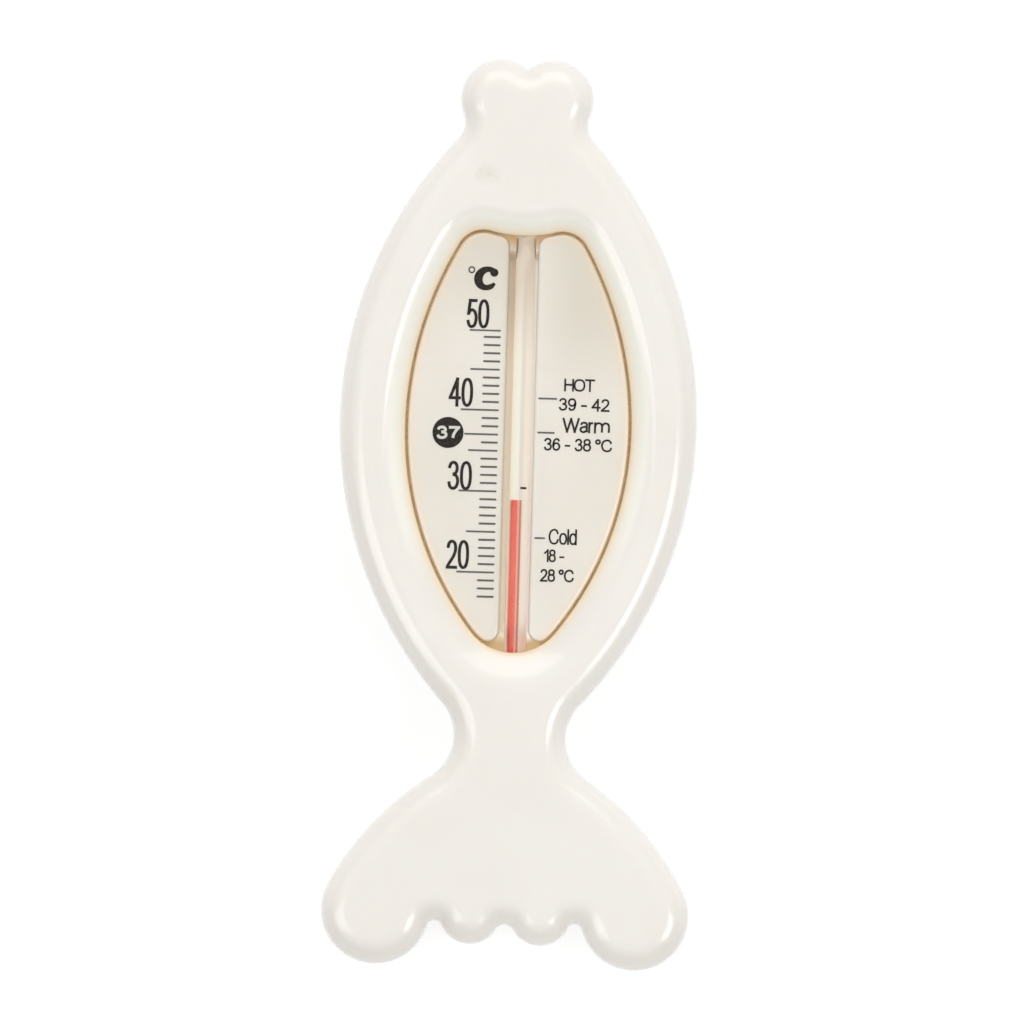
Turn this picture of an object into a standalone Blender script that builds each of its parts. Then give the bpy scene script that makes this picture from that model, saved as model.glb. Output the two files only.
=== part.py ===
"""Fish-shaped baby bath thermometer, lying on its flat back.

Metres. The front faces +Z, the head points to +Y, and the back face is on z = 0. The outline is symmetric
about x = 0. Heights along the fish are given from the tail's tip, the lowest point of the outline.
"""
import math

import bmesh
import bpy
from mathutils import Matrix, Vector

# Outline of the body
BODY_LENGTH = 0.150
BODY_WIDTH = 0.0591
BELLY_FROM_TAIL = 0.0899
HEAD_LOBE_RADIUS = 0.0066
HEAD_LOBE_OFFSET = 0.0044
HEAD_NOTCH_RADIUS = 0.0005
NECK_RADIUS = 0.0039
NECK_BELOW_LOBE = 0.0040
WAIST_WIDTH = 0.0186
WAIST_FROM_TAIL = 0.0380
WAIST_RADIUS = 0.0081
TAIL_WIDTH = 0.0608
TAIL_LOBE_RADIUS = 0.0090
TAIL_FLANK_RADIUS = 0.0485
SCALLOP_NOTCH_RADIUS = 0.0009
SCALLOP_NOTCH_FROM_TAIL = 0.0071
SCALLOP_LOBE_FROM_TAIL = 0.0088
CENTRE_NOTCH_FROM_TAIL = 0.0070

# Section of the two shells
BODY_THICKNESS = 0.017
PARTING_HEIGHT = 0.0085
WALL = 0.0018
EDGE_REACH = 0.0036
EDGE_RISE = 0.0052
WALL_DRAFT = 0.0003
SEAM_CHAMFER = 0.0002

# Window in the front shell
WINDOW_WIDTH = 0.0374
WINDOW_CENTRE_BELOW_BELLY = 0.0009
WINDOW_TOP_BELOW_HEAD = 0.0280
WINDOW_BOTTOM_FROM_TAIL = 0.0517
WINDOW_CORNER_RADIUS = 0.0047
WINDOW_CORNER_OFFSET = 0.0065
WINDOW_BOTTOM_RADIUS = 0.0082
WINDOW_TOP_DIP = 0.0010
BEVEL_WIDTH = 0.0037
BEVEL_DEPTH = 0.0026
BEVEL_EDGE_ROUND = 0.0005
LIP_THICKNESS = 0.0012
LIP_SEAT_WIDTH = 0.0022

# Eye dimple
EYE_DIAMETER = 0.0043
EYE_DEPTH = 0.00035
EYE_OFFSET = 0.0063
EYE_BELOW_HEAD = 0.0191

# Water slots in the back shell
SLOT_COUNT = 3
SLOT_WIDTH = 0.0020
SLOT_LENGTH = 0.0140
SLOT_SPACING = 0.0048
SLOT_CENTRE_FROM_TAIL = 0.0490

# Scale plate
PLATE_THICKNESS = 0.0012
FLANGE_WIDTH = 0.0016
LOBE_RECESS = 0.0002
LOBE_END_RADIUS = 0.0016
TROUGH_WALL = 0.0012

# Amber cement
SEAL_WIDTH = 0.00066
SEAL_BELOW_LOBE = 0.00025
SEAL_TOP_FILL = 0.0010
SEAL_BOTTOM_FILL = 0.0023
CEMENT_LEFT = 0.00095
CEMENT_RIGHT = 0.00025
CEMENT_UNDER = 0.0003
CEMENT_BELOW_AXIS = 0.0002
CEMENT_CLEARANCE = 0.00005

# Glass tube and spirit
TUBE_DIAMETER = 0.0037
TUBE_OFFSET = 0.0005
TUBE_UNDER_LIP = 0.0003
TUBE_TOP_BELOW_HEAD = 0.0200
BULB_DIAMETER = 0.0048
BULB_LENGTH = 0.0090
BULB_TIP_FROM_TAIL = 0.0360
BULB_SHOULDER = 0.0025
GLASS_WALL = 0.0007
BORE_DIAMETER = 0.0008
BORE_LEFT_OF_TUBE = 0.00065
SPIRIT_CLEARANCE = 0.00008
SPIRIT_READING = 29.0
TUBE_MARK_WIDTH = 0.00095
TUBE_MARK_THICKNESS = 0.00035
TUBE_MARK_OFFSET = 0.0006
TUBE_MARK_DEGREE = 30.5

# Printed scale
PRINT_HEIGHT = 0.00008
FIRST_DEGREE = 17
LAST_DEGREE = 50
FIRST_LINE_ABOVE_WINDOW_BOTTOM = 0.00949
NUMERAL_BELOW_WINDOW_TOP = 0.01154
LINE_THICKNESS = 0.00028
LINE_FROM_CHANNEL = 0.0010
LINE_LENGTH = 0.0028
LINE_LENGTH_FIVE = 0.0049
LINE_LENGTH_TEN = 0.0063
LINE_LENGTH_TOP = 0.0052
DISC_DIAMETER = 0.00506
DISC_OFFSET = 0.0116
DISC_DEGREE = 37
DISC_LINE_GAP = 0.00015
DISC_FIGURE_WIDTH = 0.0018
DISC_FIGURE_HEIGHT = 0.0020
NUMERALS = {50: 0.00718, 40: 0.0096, 30: 0.0095, 20: 0.0094}
NUMERAL_WIDTH = 0.0017
NUMERAL_GAP = 0.0004
NUMERAL_ABOVE_LINE = 0.00035
NUMERAL_BELOW_FIVE = 0.00165
UNIT_WIDTH = 0.0036
UNIT_HEIGHT = 0.0037
UNIT_OFFSET = 0.0060
UNIT_BELOW_WINDOW_TOP = 0.0082
RING_OUTER_DIAMETER = 0.0012
RING_INNER_DIAMETER = 0.0007
RING_OFFSET = 0.0088
RING_BELOW_WINDOW_TOP = 0.0068
ZONE_DEGREES = {"hot": 41.6, "warm": 37.4, "cold": 24.4}
ZONE_LENGTHS = {"hot": 0.0028, "warm": 0.0026, "cold": 0.0015}
ZONE_FROM_CHANNEL = 0.0007

# Faceting: the largest distance between a true arc and its chord
CHORD_ERROR = 0.00007
TURNED_SEGMENTS = 24
EDGE_STEPS = 4

# Heights worked out from the sizes above
WINDOW_EDGE_Z = BODY_THICKNESS - BEVEL_DEPTH
SEAT_Z = WINDOW_EDGE_Z - LIP_THICKNESS
LOBE_TOP_Z = WINDOW_EDGE_Z - LOBE_RECESS
TUBE_RADIUS = TUBE_DIAMETER / 2
TUBE_Z = SEAT_Z - TUBE_UNDER_LIP - TUBE_RADIUS
CHANNEL_FLOOR_Z = TUBE_Z - TUBE_RADIUS - CEMENT_UNDER
CHANNEL_LEFT = TUBE_OFFSET - TUBE_RADIUS - CEMENT_LEFT
CHANNEL_RIGHT = TUBE_OFFSET + TUBE_RADIUS + CEMENT_RIGHT

# Places along the fish worked out from the sizes above
TAIL_Y = -BODY_LENGTH / 2
WINDOW_CENTRE_FROM_TAIL = BELLY_FROM_TAIL - WINDOW_CENTRE_BELOW_BELLY
WINDOW_TOP_FROM_TAIL = BODY_LENGTH - WINDOW_TOP_BELOW_HEAD
FIRST_LINE_FROM_TAIL = WINDOW_BOTTOM_FROM_TAIL + FIRST_LINE_ABOVE_WINDOW_BOTTOM

# The numeral over the last line ends a little short of the place five degrees higher
FIVE_ABOVE_LAST_FROM_TAIL = WINDOW_TOP_FROM_TAIL - NUMERAL_BELOW_WINDOW_TOP + NUMERAL_BELOW_FIVE
SCALE_DEGREES = LAST_DEGREE + 5 - FIRST_DEGREE
DEGREE_PITCH = (FIVE_ABOVE_LAST_FROM_TAIL - FIRST_LINE_FROM_TAIL) / SCALE_DEGREES
NUMERAL_HEIGHT = 5 * DEGREE_PITCH - NUMERAL_ABOVE_LINE - NUMERAL_BELOW_FIVE

MATERIALS = {
    "body_white": {"colour": (0.86, 0.83, 0.77), "roughness": 0.35},
    "plate_cream": {"colour": (0.76, 0.72, 0.65), "roughness": 0.4},
    "cement_amber": {"colour": (0.42, 0.27, 0.13), "roughness": 0.3},
    "glass": {"colour": (0.78, 0.76, 0.70), "roughness": 0.05},
    "spirit_red": {"colour": (0.62, 0.09, 0.05), "roughness": 0.3},
    "print_black": {"colour": (0.03, 0.025, 0.02), "roughness": 0.5},
}


def from_tail(distance):
    """Y of a place given by its distance from the tail's tip."""
    return TAIL_Y + distance


def degree_y(degree):
    """Y of a temperature on the scale."""
    return from_tail(FIRST_LINE_FROM_TAIL + (degree - FIRST_DEGREE) * DEGREE_PITCH)


def material(name):
    """The Principled material of that name, made on first use."""
    found = bpy.data.materials.get(name)
    if found:
        return found
    values = MATERIALS[name]
    made = bpy.data.materials.new(name)
    made.use_nodes = True
    shader = made.node_tree.nodes["Principled BSDF"]
    shader.inputs["Base Color"].default_value = (*values["colour"], 1.0)
    shader.inputs["Roughness"].default_value = values["roughness"]
    shader.inputs["Metallic"].default_value = 0.0
    made.diffuse_color = (*values["colour"], 1.0)
    return made


def object_from(bm, name, material_name=None):
    """A finished bmesh as a named object, faces outward, shaded smooth but for its sharp edges."""
    bmesh.ops.recalc_face_normals(bm, faces=bm.faces)
    mesh = bpy.data.meshes.new(name)
    bm.to_mesh(mesh)
    bm.free()
    mesh.shade_smooth()
    mesh.set_sharp_from_angle(angle=math.radians(35))
    made = bpy.data.objects.new(name, mesh)
    bpy.context.scene.collection.objects.link(made)
    if material_name:
        mesh.materials.append(material(material_name))
    return made


def combine(target, operation, tool):
    """Joins a helper solid to the target, or cuts it out, and leaves the helper as a wire guide."""
    modifier = target.modifiers.new(tool.name, "BOOLEAN")
    modifier.operation = operation
    modifier.solver = "EXACT"
    modifier.object = tool
    tool.hide_render = True
    tool.display_type = "WIRE"


# Outlines: a chain of circles, each tangent to the next. A radius is positive where the outline
# bulges outward and negative where it is hollow. The chain runs clockwise.

def circle_meeting(centre_a, reach_a, centre_b, reach_b):
    """The point at the given distances from two centres, the one further to the left."""
    offset = centre_b - centre_a
    along = (offset.length_squared + reach_a ** 2 - reach_b ** 2) / (2 * offset.length)
    across = math.sqrt(reach_a ** 2 - along ** 2)
    middle = centre_a + offset.normalized() * along
    side = Vector((-offset.y, offset.x)).normalized() * across
    return min(middle + side, middle - side, key=lambda point: point.x)


def flank_radius(run, rise, end_radius):
    """Radius of an arc that is upright at the widest point and touches an end circle.

    run and rise go from the widest point to the end circle's centre; end_radius is signed like the
    outline's radii.
    """
    return (run ** 2 + rise ** 2 - end_radius ** 2) / (2 * (-end_radius - run))


def arc_chain(circles, start_angle, end_angle):
    """Points and outward normals along the chain, from one normal direction to another."""
    angles = [start_angle]
    for (centre, radius), (next_centre, next_radius) in zip(circles, circles[1:]):
        normal = (next_centre - centre) / (radius - next_radius)
        angles.append(math.atan2(normal.y, normal.x))
    angles.append(end_angle)
    points = []
    for (centre, radius), first, last in zip(circles, angles, angles[1:]):
        turn = -((first - last) % math.tau) if radius > 0 else (last - first) % math.tau
        step = 2 * math.acos(1 - min(CHORD_ERROR / abs(radius), 0.5))
        count = max(2, math.ceil(abs(turn) / step))
        for index in range(count):
            angle = first + turn * index / count
            normal = Vector((math.cos(angle), math.sin(angle)))
            points.append((centre + normal * radius, normal))
    normal = Vector((math.cos(end_angle), math.sin(end_angle)))
    points.append((circles[-1][0] + normal * circles[-1][1], normal))
    return points


def mirrored(half):
    """A closed outline from its right half, whose two ends lie on x = 0."""
    left = [(Vector((-point.x, point.y)), Vector((-normal.x, normal.y))) for point, normal in half[-2:0:-1]]
    return half + left


def scallop_circles():
    """The tail's lower edge, as circles: side lobe, notch, small lobe, centre notch."""
    side_lobe = Vector((TAIL_WIDTH / 2 - TAIL_LOBE_RADIUS, from_tail(TAIL_LOBE_RADIUS)))
    notch_y = from_tail(SCALLOP_NOTCH_FROM_TAIL)
    reach = TAIL_LOBE_RADIUS + SCALLOP_NOTCH_RADIUS
    notch = Vector((side_lobe.x - math.sqrt(reach ** 2 - (side_lobe.y - notch_y) ** 2), notch_y))
    small_lobe = Vector((notch.x / 2, from_tail(SCALLOP_LOBE_FROM_TAIL)))
    small_radius = (small_lobe - notch).length - SCALLOP_NOTCH_RADIUS
    apex_y = from_tail(CENTRE_NOTCH_FROM_TAIL)
    depth = small_lobe.y - apex_y
    centre_radius = (small_lobe.x ** 2 + depth ** 2 - small_radius ** 2) / (2 * (small_radius - depth))
    return [
        (side_lobe, TAIL_LOBE_RADIUS),
        (notch, -SCALLOP_NOTCH_RADIUS),
        (small_lobe, small_radius),
        (Vector((0, apex_y - centre_radius)), -centre_radius),
    ]


def body_outline():
    """The fish: head lobes, neck, flanks, waist and scalloped tail."""
    half_width = BODY_WIDTH / 2
    belly_y = from_tail(BELLY_FROM_TAIL)
    head = Vector((HEAD_LOBE_OFFSET, BODY_LENGTH / 2 - HEAD_LOBE_RADIUS))
    notch_rise = math.sqrt((HEAD_LOBE_RADIUS + HEAD_NOTCH_RADIUS) ** 2 - HEAD_LOBE_OFFSET ** 2)
    head_notch = Vector((0, head.y + notch_rise))
    neck_run = math.sqrt((HEAD_LOBE_RADIUS + NECK_RADIUS) ** 2 - NECK_BELOW_LOBE ** 2)
    neck = Vector((head.x + neck_run, head.y - NECK_BELOW_LOBE))
    upper_radius = flank_radius(neck.x - half_width, neck.y - belly_y, -NECK_RADIUS)
    waist = Vector((WAIST_WIDTH / 2 + WAIST_RADIUS, from_tail(WAIST_FROM_TAIL)))
    lower_radius = flank_radius(waist.x - half_width, waist.y - belly_y, -WAIST_RADIUS)
    scallops = scallop_circles()
    tail_flank = circle_meeting(
        waist, TAIL_FLANK_RADIUS + WAIST_RADIUS, scallops[0][0], TAIL_FLANK_RADIUS - TAIL_LOBE_RADIUS
    )
    circles = [
        (head_notch, -HEAD_NOTCH_RADIUS),
        (head, HEAD_LOBE_RADIUS),
        (neck, -NECK_RADIUS),
        (Vector((half_width - upper_radius, belly_y)), upper_radius),
        (Vector((half_width - lower_radius, belly_y)), lower_radius),
        (waist, -WAIST_RADIUS),
        (tail_flank, TAIL_FLANK_RADIUS),
        *scallops,
    ]
    return mirrored(arc_chain(circles, math.pi / 2, -math.pi / 2))


def window_circles(inset=0.0):
    """The right half of the window, as circles: dip at the top, corner, two flanks, round bottom."""
    half_width = WINDOW_WIDTH / 2
    centre_y = from_tail(WINDOW_CENTRE_FROM_TAIL)
    corner = Vector((WINDOW_CORNER_OFFSET, from_tail(WINDOW_TOP_FROM_TAIL) - WINDOW_CORNER_RADIUS))
    rise = WINDOW_CORNER_RADIUS - WINDOW_TOP_DIP
    dip_radius = (corner.x ** 2 + rise ** 2 - WINDOW_CORNER_RADIUS ** 2) / (2 * WINDOW_TOP_DIP)
    dip = Vector((0, corner.y + rise + dip_radius))
    bottom = Vector((0, from_tail(WINDOW_BOTTOM_FROM_TAIL) + WINDOW_BOTTOM_RADIUS))
    upper_radius = flank_radius(corner.x - half_width, corner.y - centre_y, WINDOW_CORNER_RADIUS)
    lower_radius = flank_radius(bottom.x - half_width, bottom.y - centre_y, WINDOW_BOTTOM_RADIUS)
    circles = [
        (dip, -dip_radius),
        (corner, WINDOW_CORNER_RADIUS),
        (Vector((half_width - upper_radius, centre_y)), upper_radius),
        (Vector((half_width - lower_radius, centre_y)), lower_radius),
        (bottom, WINDOW_BOTTOM_RADIUS),
    ]
    return [(centre, radius - inset) for centre, radius in circles]


def window_outline():
    """The edge of the window opening."""
    return mirrored(arc_chain(window_circles(), math.pi / 2, -math.pi / 2))


def lobe_outline(side, channel_side):
    """One raised lobe of the plate: the window less the cement line, cut straight along the channel.

    side is 1 for the right lobe and -1 for the left; channel_side is the channel wall's distance
    from x = 0 on that side.
    """
    circles = window_circles(SEAL_WIDTH)
    end_x = channel_side + LOBE_END_RADIUS
    dip, dip_radius = circles[0]
    bottom, bottom_radius = circles[-1]
    top_end = Vector((end_x, dip.y - math.sqrt((LOBE_END_RADIUS - dip_radius) ** 2 - end_x ** 2)))
    bottom_end = Vector((end_x, bottom.y - math.sqrt((bottom_radius - LOBE_END_RADIUS) ** 2 - end_x ** 2)))
    ends = [(top_end, LOBE_END_RADIUS), *circles, (bottom_end, LOBE_END_RADIUS)]
    outline = arc_chain(ends, math.pi, math.pi)
    return [(Vector((side * point.x, point.y)), Vector((side * normal.x, normal.y))) for point, normal in outline]


# Surfaces: rings of an outline at a height, skinned one to the next.

def add_ring(bm, outline, inset, z):
    """The outline moved inward by the inset, as a closed loop of points at one height."""
    loop = []
    for point, normal in outline:
        place = point - normal * inset
        loop.append(bm.verts.new((place.x, place.y, z)))
    for first, second in zip(loop, loop[1:] + loop[:1]):
        bm.edges.new((first, second))
    return loop


def skin(bm, rings):
    """Faces between each ring and the next."""
    for lower, upper in zip(rings, rings[1:]):
        for index in range(len(lower)):
            after = (index + 1) % len(lower)
            bm.faces.new((lower[index], lower[after], upper[after], upper[index]))


def fill(bm, *loops):
    """A flat face inside one loop, or between a loop and the loops inside it."""
    edges = []
    for loop in loops:
        edges += [bm.edges.get(pair) for pair in zip(loop, loop[1:] + loop[:1])]
    bmesh.ops.triangle_fill(bm, use_beauty=True, use_dissolve=False, edges=edges, normal=(0, 0, 1))


def slab(name, outline, inset, bottom_z, top_z, material_name=None):
    """A flat plate of the outline between two heights."""
    bm = bmesh.new()
    bottom = add_ring(bm, outline, inset, bottom_z)
    top = add_ring(bm, outline, inset, top_z)
    skin(bm, [bottom, top])
    fill(bm, bottom)
    fill(bm, top)
    return object_from(bm, name, material_name)


def block(name, low, high, material_name=None):
    """A box between two corners."""
    bm = bmesh.new()
    size = Vector(high) - Vector(low)
    middle = (Vector(high) + Vector(low)) / 2
    bmesh.ops.create_cube(bm, size=1.0, matrix=Matrix.Translation(middle) @ Matrix.Diagonal((*size, 1.0)))
    return object_from(bm, name, material_name)


def turned(name, profile, place, segments, material_name=None):
    """A solid turned about its own Z from (radius, height) pairs whose ends lie on the axis."""
    bm = bmesh.new()
    poles = [bm.verts.new(place @ Vector((0, 0, height))) for height in (profile[0][1], profile[-1][1])]
    rings = []
    for radius, height in profile[1:-1]:
        angles = [math.tau * index / segments for index in range(segments)]
        rings.append([
            bm.verts.new(place @ Vector((radius * math.cos(angle), radius * math.sin(angle), height)))
            for angle in angles
        ])
    skin(bm, rings)
    for pole, ring in zip(poles, (rings[0], rings[-1])):
        for first, second in zip(ring, ring[1:] + ring[:1]):
            bm.faces.new((pole, first, second))
    return object_from(bm, name, material_name)


# Shells

def edge_profile(inset, rise, steps):
    """(inset, height) pairs of the rounded edge, from the side wall to the face, heights from 0 to rise."""
    reach = EDGE_REACH - inset
    pairs = []
    for index in range(steps + 1):
        angle = math.pi / 2 * index / steps
        pairs.append((inset + reach * (1 - math.cos(angle)), rise * math.sin(angle)))
    return pairs


def shell_rings(bm, outline, direction, face_z):
    """Outer and inner rings of a half shell, from the parting plane to its face.

    direction is 1 where the shell rises to the front face and -1 where it drops to the back.
    """
    shoulder_z = face_z - direction * EDGE_RISE
    outer = [
        add_ring(bm, outline, SEAM_CHAMFER, PARTING_HEIGHT),
        add_ring(bm, outline, 0.0, PARTING_HEIGHT + direction * SEAM_CHAMFER),
    ]
    for inset, height in edge_profile(WALL_DRAFT, EDGE_RISE, EDGE_STEPS):
        outer.append(add_ring(bm, outline, inset, shoulder_z + direction * height))
    inner = [add_ring(bm, outline, WALL, PARTING_HEIGHT)]
    for inset, height in edge_profile(WALL + WALL_DRAFT, EDGE_RISE - WALL, EDGE_STEPS - 1):
        inner.append(add_ring(bm, outline, inset, shoulder_z + direction * height))
    skin(bm, outer)
    skin(bm, inner)
    skin(bm, [outer[0], inner[0]])
    return outer[-1], inner[-1]


def window_rings(bm, window):
    """The funnel into the window: rounded crease, bevel, lip, seat and the slope back to the roof."""
    slope = BEVEL_DEPTH / BEVEL_WIDTH
    roof_z = BODY_THICKNESS - WALL
    profile = [
        (BEVEL_WIDTH + BEVEL_EDGE_ROUND, BODY_THICKNESS),
        (BEVEL_WIDTH, BODY_THICKNESS - slope * BEVEL_EDGE_ROUND / 3),
        (BEVEL_WIDTH - BEVEL_EDGE_ROUND, BODY_THICKNESS - slope * BEVEL_EDGE_ROUND),
        (0.0, WINDOW_EDGE_Z),
        (0.0, SEAT_Z),
        (LIP_SEAT_WIDTH, SEAT_Z),
        (LIP_SEAT_WIDTH + (roof_z - SEAT_Z) / slope, roof_z),
    ]
    rings = [add_ring(bm, window, -outset, z) for outset, z in profile]
    skin(bm, rings)
    return rings[0], rings[-1]


def make_front_shell(outline, window):
    """The front half: rounded edge, flat face, window funnel and eye dimple."""
    bm = bmesh.new()
    face_loop, roof_loop = shell_rings(bm, outline, 1, BODY_THICKNESS)
    crease_loop, slope_loop = window_rings(bm, window)
    fill(bm, face_loop, crease_loop)
    fill(bm, roof_loop, slope_loop)
    shell = object_from(bm, "front_shell", "body_white")
    combine(shell, "DIFFERENCE", eye_cutter())


def eye_cutter():
    """A lens that dishes the front face by the eye's depth, with its rim on the face."""
    radius = EYE_DIAMETER / 2
    ball = (radius ** 2 + EYE_DEPTH ** 2) / (2 * EYE_DEPTH)
    opening = math.asin(radius / ball)
    steps = 3
    profile = []
    for index in range(steps + 1):
        angle = opening * index / steps
        profile.append((ball * math.sin(angle), ball - EYE_DEPTH - ball * math.cos(angle)))
    profile += [(radius, EYE_DEPTH), (0.0, EYE_DEPTH)]
    place = Matrix.Translation((-EYE_OFFSET, from_tail(BODY_LENGTH - EYE_BELOW_HEAD), BODY_THICKNESS))
    return turned("eye_cutter", profile, place, TURNED_SEGMENTS)


def make_back_shell(outline):
    """The back half: flat back, rounded edge and the slots that let water reach the bulb."""
    bm = bmesh.new()
    face_loop, floor_loop = shell_rings(bm, outline, -1, 0.0)
    fill(bm, face_loop)
    fill(bm, floor_loop)
    shell = object_from(bm, "back_shell", "body_white")
    for index in range(SLOT_COUNT):
        x = (index - (SLOT_COUNT - 1) / 2) * SLOT_SPACING
        combine(shell, "DIFFERENCE", slot_cutter(index, x))


def slot_cutter(index, x):
    """A round-ended slot through the back wall."""
    radius = SLOT_WIDTH / 2
    end_rise = SLOT_LENGTH / 2 - radius
    centre_y = from_tail(SLOT_CENTRE_FROM_TAIL)
    outline = []
    steps = 6
    for end in (1, -1):
        for step in range(steps + 1):
            angle = end * math.pi / 2 + math.pi / 2 - math.pi * step / steps
            normal = Vector((math.cos(angle), math.sin(angle)))
            outline.append((Vector((x, centre_y + end * end_rise)) + normal * radius, normal))
    return slab(f"slot_cutter_{index + 1}", outline, 0.0, -WALL, 2 * WALL)


# Plate and cement

def make_scale_plate(window):
    """The cream plate: flange under the lip, two raised lobes, and the trough that carries the tube."""
    base_z = SEAT_Z - PLATE_THICKNESS
    plate = slab("scale_plate", window, -FLANGE_WIDTH, base_z, SEAT_Z, "plate_cream")
    trough_low = (CHANNEL_LEFT - TROUGH_WALL, from_tail(WINDOW_BOTTOM_FROM_TAIL), CHANNEL_FLOOR_Z - TROUGH_WALL)
    trough_high = (CHANNEL_RIGHT + TROUGH_WALL, channel_top_y(), base_z + PLATE_THICKNESS / 2)
    combine(plate, "UNION", block("trough", trough_low, trough_high))
    for name, side, channel_side in (("right", 1, CHANNEL_RIGHT), ("left", -1, -CHANNEL_LEFT)):
        outline = lobe_outline(side, channel_side)
        lobe = slab(f"{name}_lobe", outline, 0.0, SEAT_Z - PLATE_THICKNESS / 2, LOBE_TOP_Z)
        combine(plate, "UNION", lobe)
    overrun = 2 * FLANGE_WIDTH
    channel_low = (CHANNEL_LEFT, from_tail(WINDOW_BOTTOM_FROM_TAIL) - overrun, CHANNEL_FLOOR_Z)
    channel_high = (CHANNEL_RIGHT, channel_top_y() + overrun, WINDOW_EDGE_Z)
    combine(plate, "DIFFERENCE", block("channel_cutter", channel_low, channel_high))


def channel_top_y():
    """Where the window's top edge crosses the middle, at the bottom of its dip."""
    return from_tail(WINDOW_TOP_FROM_TAIL) - WINDOW_TOP_DIP


def make_window_seal(window):
    """The amber line round the lobes, filled solid at both ends of the channel."""
    top_z = LOBE_TOP_Z - SEAL_BELOW_LOBE
    seal = slab("window_seal", window, CEMENT_CLEARANCE, SEAT_Z, top_z, "cement_amber")
    for name, side, channel_side in (("right", 1, CHANNEL_RIGHT), ("left", -1, -CHANNEL_LEFT)):
        outline = lobe_outline(side, channel_side)
        cutter = slab(f"{name}_lobe_cutter", outline, -CEMENT_CLEARANCE, SEAT_Z - WALL, LOBE_TOP_Z + WALL)
        combine(seal, "DIFFERENCE", cutter)
    gap_low = (CHANNEL_LEFT - SEAL_WIDTH, from_tail(WINDOW_BOTTOM_FROM_TAIL) + SEAL_BOTTOM_FILL, SEAT_Z - WALL)
    gap_high = (CHANNEL_RIGHT + SEAL_WIDTH, channel_top_y() - SEAL_TOP_FILL, LOBE_TOP_Z + WALL)
    combine(seal, "DIFFERENCE", block("channel_gap_cutter", gap_low, gap_high))


def make_tube_bed():
    """The cement that the glass tube lies in, along the whole trough."""
    bottom_y = from_tail(WINDOW_BOTTOM_FROM_TAIL)
    low = (CHANNEL_LEFT + CEMENT_CLEARANCE, bottom_y, CHANNEL_FLOOR_Z)
    high = (CHANNEL_RIGHT - CEMENT_CLEARANCE, channel_top_y(), TUBE_Z - CEMENT_BELOW_AXIS)
    bed = block("tube_bed", low, high, "cement_amber")
    radius = TUBE_RADIUS + CEMENT_CLEARANCE
    bottom = bottom_y - TUBE_RADIUS
    top = channel_top_y() + TUBE_RADIUS
    profile = [(0.0, bottom), (radius, bottom), (radius, top), (0.0, top)]
    combine(bed, "DIFFERENCE", turned("tube_bed_cutter", profile, tube_axis(), TURNED_SEGMENTS))


# Glass and spirit

def tube_axis():
    """The tube's own Z laid along the fish, with heights on it equal to Y."""
    return Matrix.Translation((TUBE_OFFSET, 0, TUBE_Z)) @ Matrix.Rotation(math.radians(-90), 4, "X")


def rounded_end(radius, tip, direction, steps=4):
    """Quarter arc from the axis at the tip out to the full radius, as (radius, height) pairs."""
    pairs = []
    for index in range(steps + 1):
        angle = math.pi / 2 * index / steps
        pairs.append((radius * math.sin(angle), tip + direction * radius * (1 - math.cos(angle))))
    return pairs


def reservoir_profile(clearance):
    """The hollow of the bulb, or the spirit in it, closed by a cone towards the bore."""
    radius = BULB_DIAMETER / 2 - GLASS_WALL - clearance
    tip = from_tail(BULB_TIP_FROM_TAIL) + GLASS_WALL + clearance
    cone_start = from_tail(BULB_TIP_FROM_TAIL) + BULB_LENGTH - BULB_DIAMETER / 2
    bore = BORE_DIAMETER / 2 + BORE_LEFT_OF_TUBE - clearance
    profile = rounded_end(radius, tip, 1)
    return profile + [(radius, cone_start), (bore, cone_start + BULB_SHOULDER), (0.0, cone_start + BULB_SHOULDER)]


def bore_profile(clearance, bottom, top):
    """A plain round rod between two heights."""
    radius = BORE_DIAMETER / 2 - clearance
    return [(0.0, bottom), (radius, bottom), (radius, top), (0.0, top)]


def make_tube():
    """The glass: stem and bulb in one, with the bore and the bulb's hollow."""
    tip = from_tail(BULB_TIP_FROM_TAIL)
    bulb_end = tip + BULB_LENGTH
    top = from_tail(BODY_LENGTH - TUBE_TOP_BELOW_HEAD)
    profile = rounded_end(BULB_DIAMETER / 2, tip, 1)
    profile += [(BULB_DIAMETER / 2, bulb_end - BULB_SHOULDER / 2), (TUBE_RADIUS, bulb_end + BULB_SHOULDER / 2)]
    profile += rounded_end(TUBE_RADIUS, top, -1)[::-1]
    tube = turned("thermometer_tube", profile, tube_axis(), TURNED_SEGMENTS, "glass")
    bottom = tip + BULB_LENGTH / 2
    bore_axis = Matrix.Translation((-BORE_LEFT_OF_TUBE, 0, 0)) @ tube_axis()
    cavity = turned("bulb_hollow", reservoir_profile(0.0), tube_axis(), TURNED_SEGMENTS)
    bore = turned("bore", bore_profile(0.0, bottom, top + TUBE_RADIUS), bore_axis, TURNED_SEGMENTS // 2)
    combine(tube, "DIFFERENCE", cavity)
    combine(tube, "DIFFERENCE", bore)


def make_spirit():
    """The red spirit: it fills the bulb and stands in the bore up to the reading."""
    bottom = from_tail(BULB_TIP_FROM_TAIL) + BULB_LENGTH / 2
    bore_axis = Matrix.Translation((-BORE_LEFT_OF_TUBE, 0, 0)) @ tube_axis()
    profile = reservoir_profile(SPIRIT_CLEARANCE)
    spirit = turned("spirit_column", profile, tube_axis(), TURNED_SEGMENTS, "spirit_red")
    thread_profile = bore_profile(SPIRIT_CLEARANCE, bottom, degree_y(SPIRIT_READING))
    thread = turned("spirit_thread", thread_profile, bore_axis, TURNED_SEGMENTS // 2)
    combine(spirit, "UNION", thread)


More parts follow.
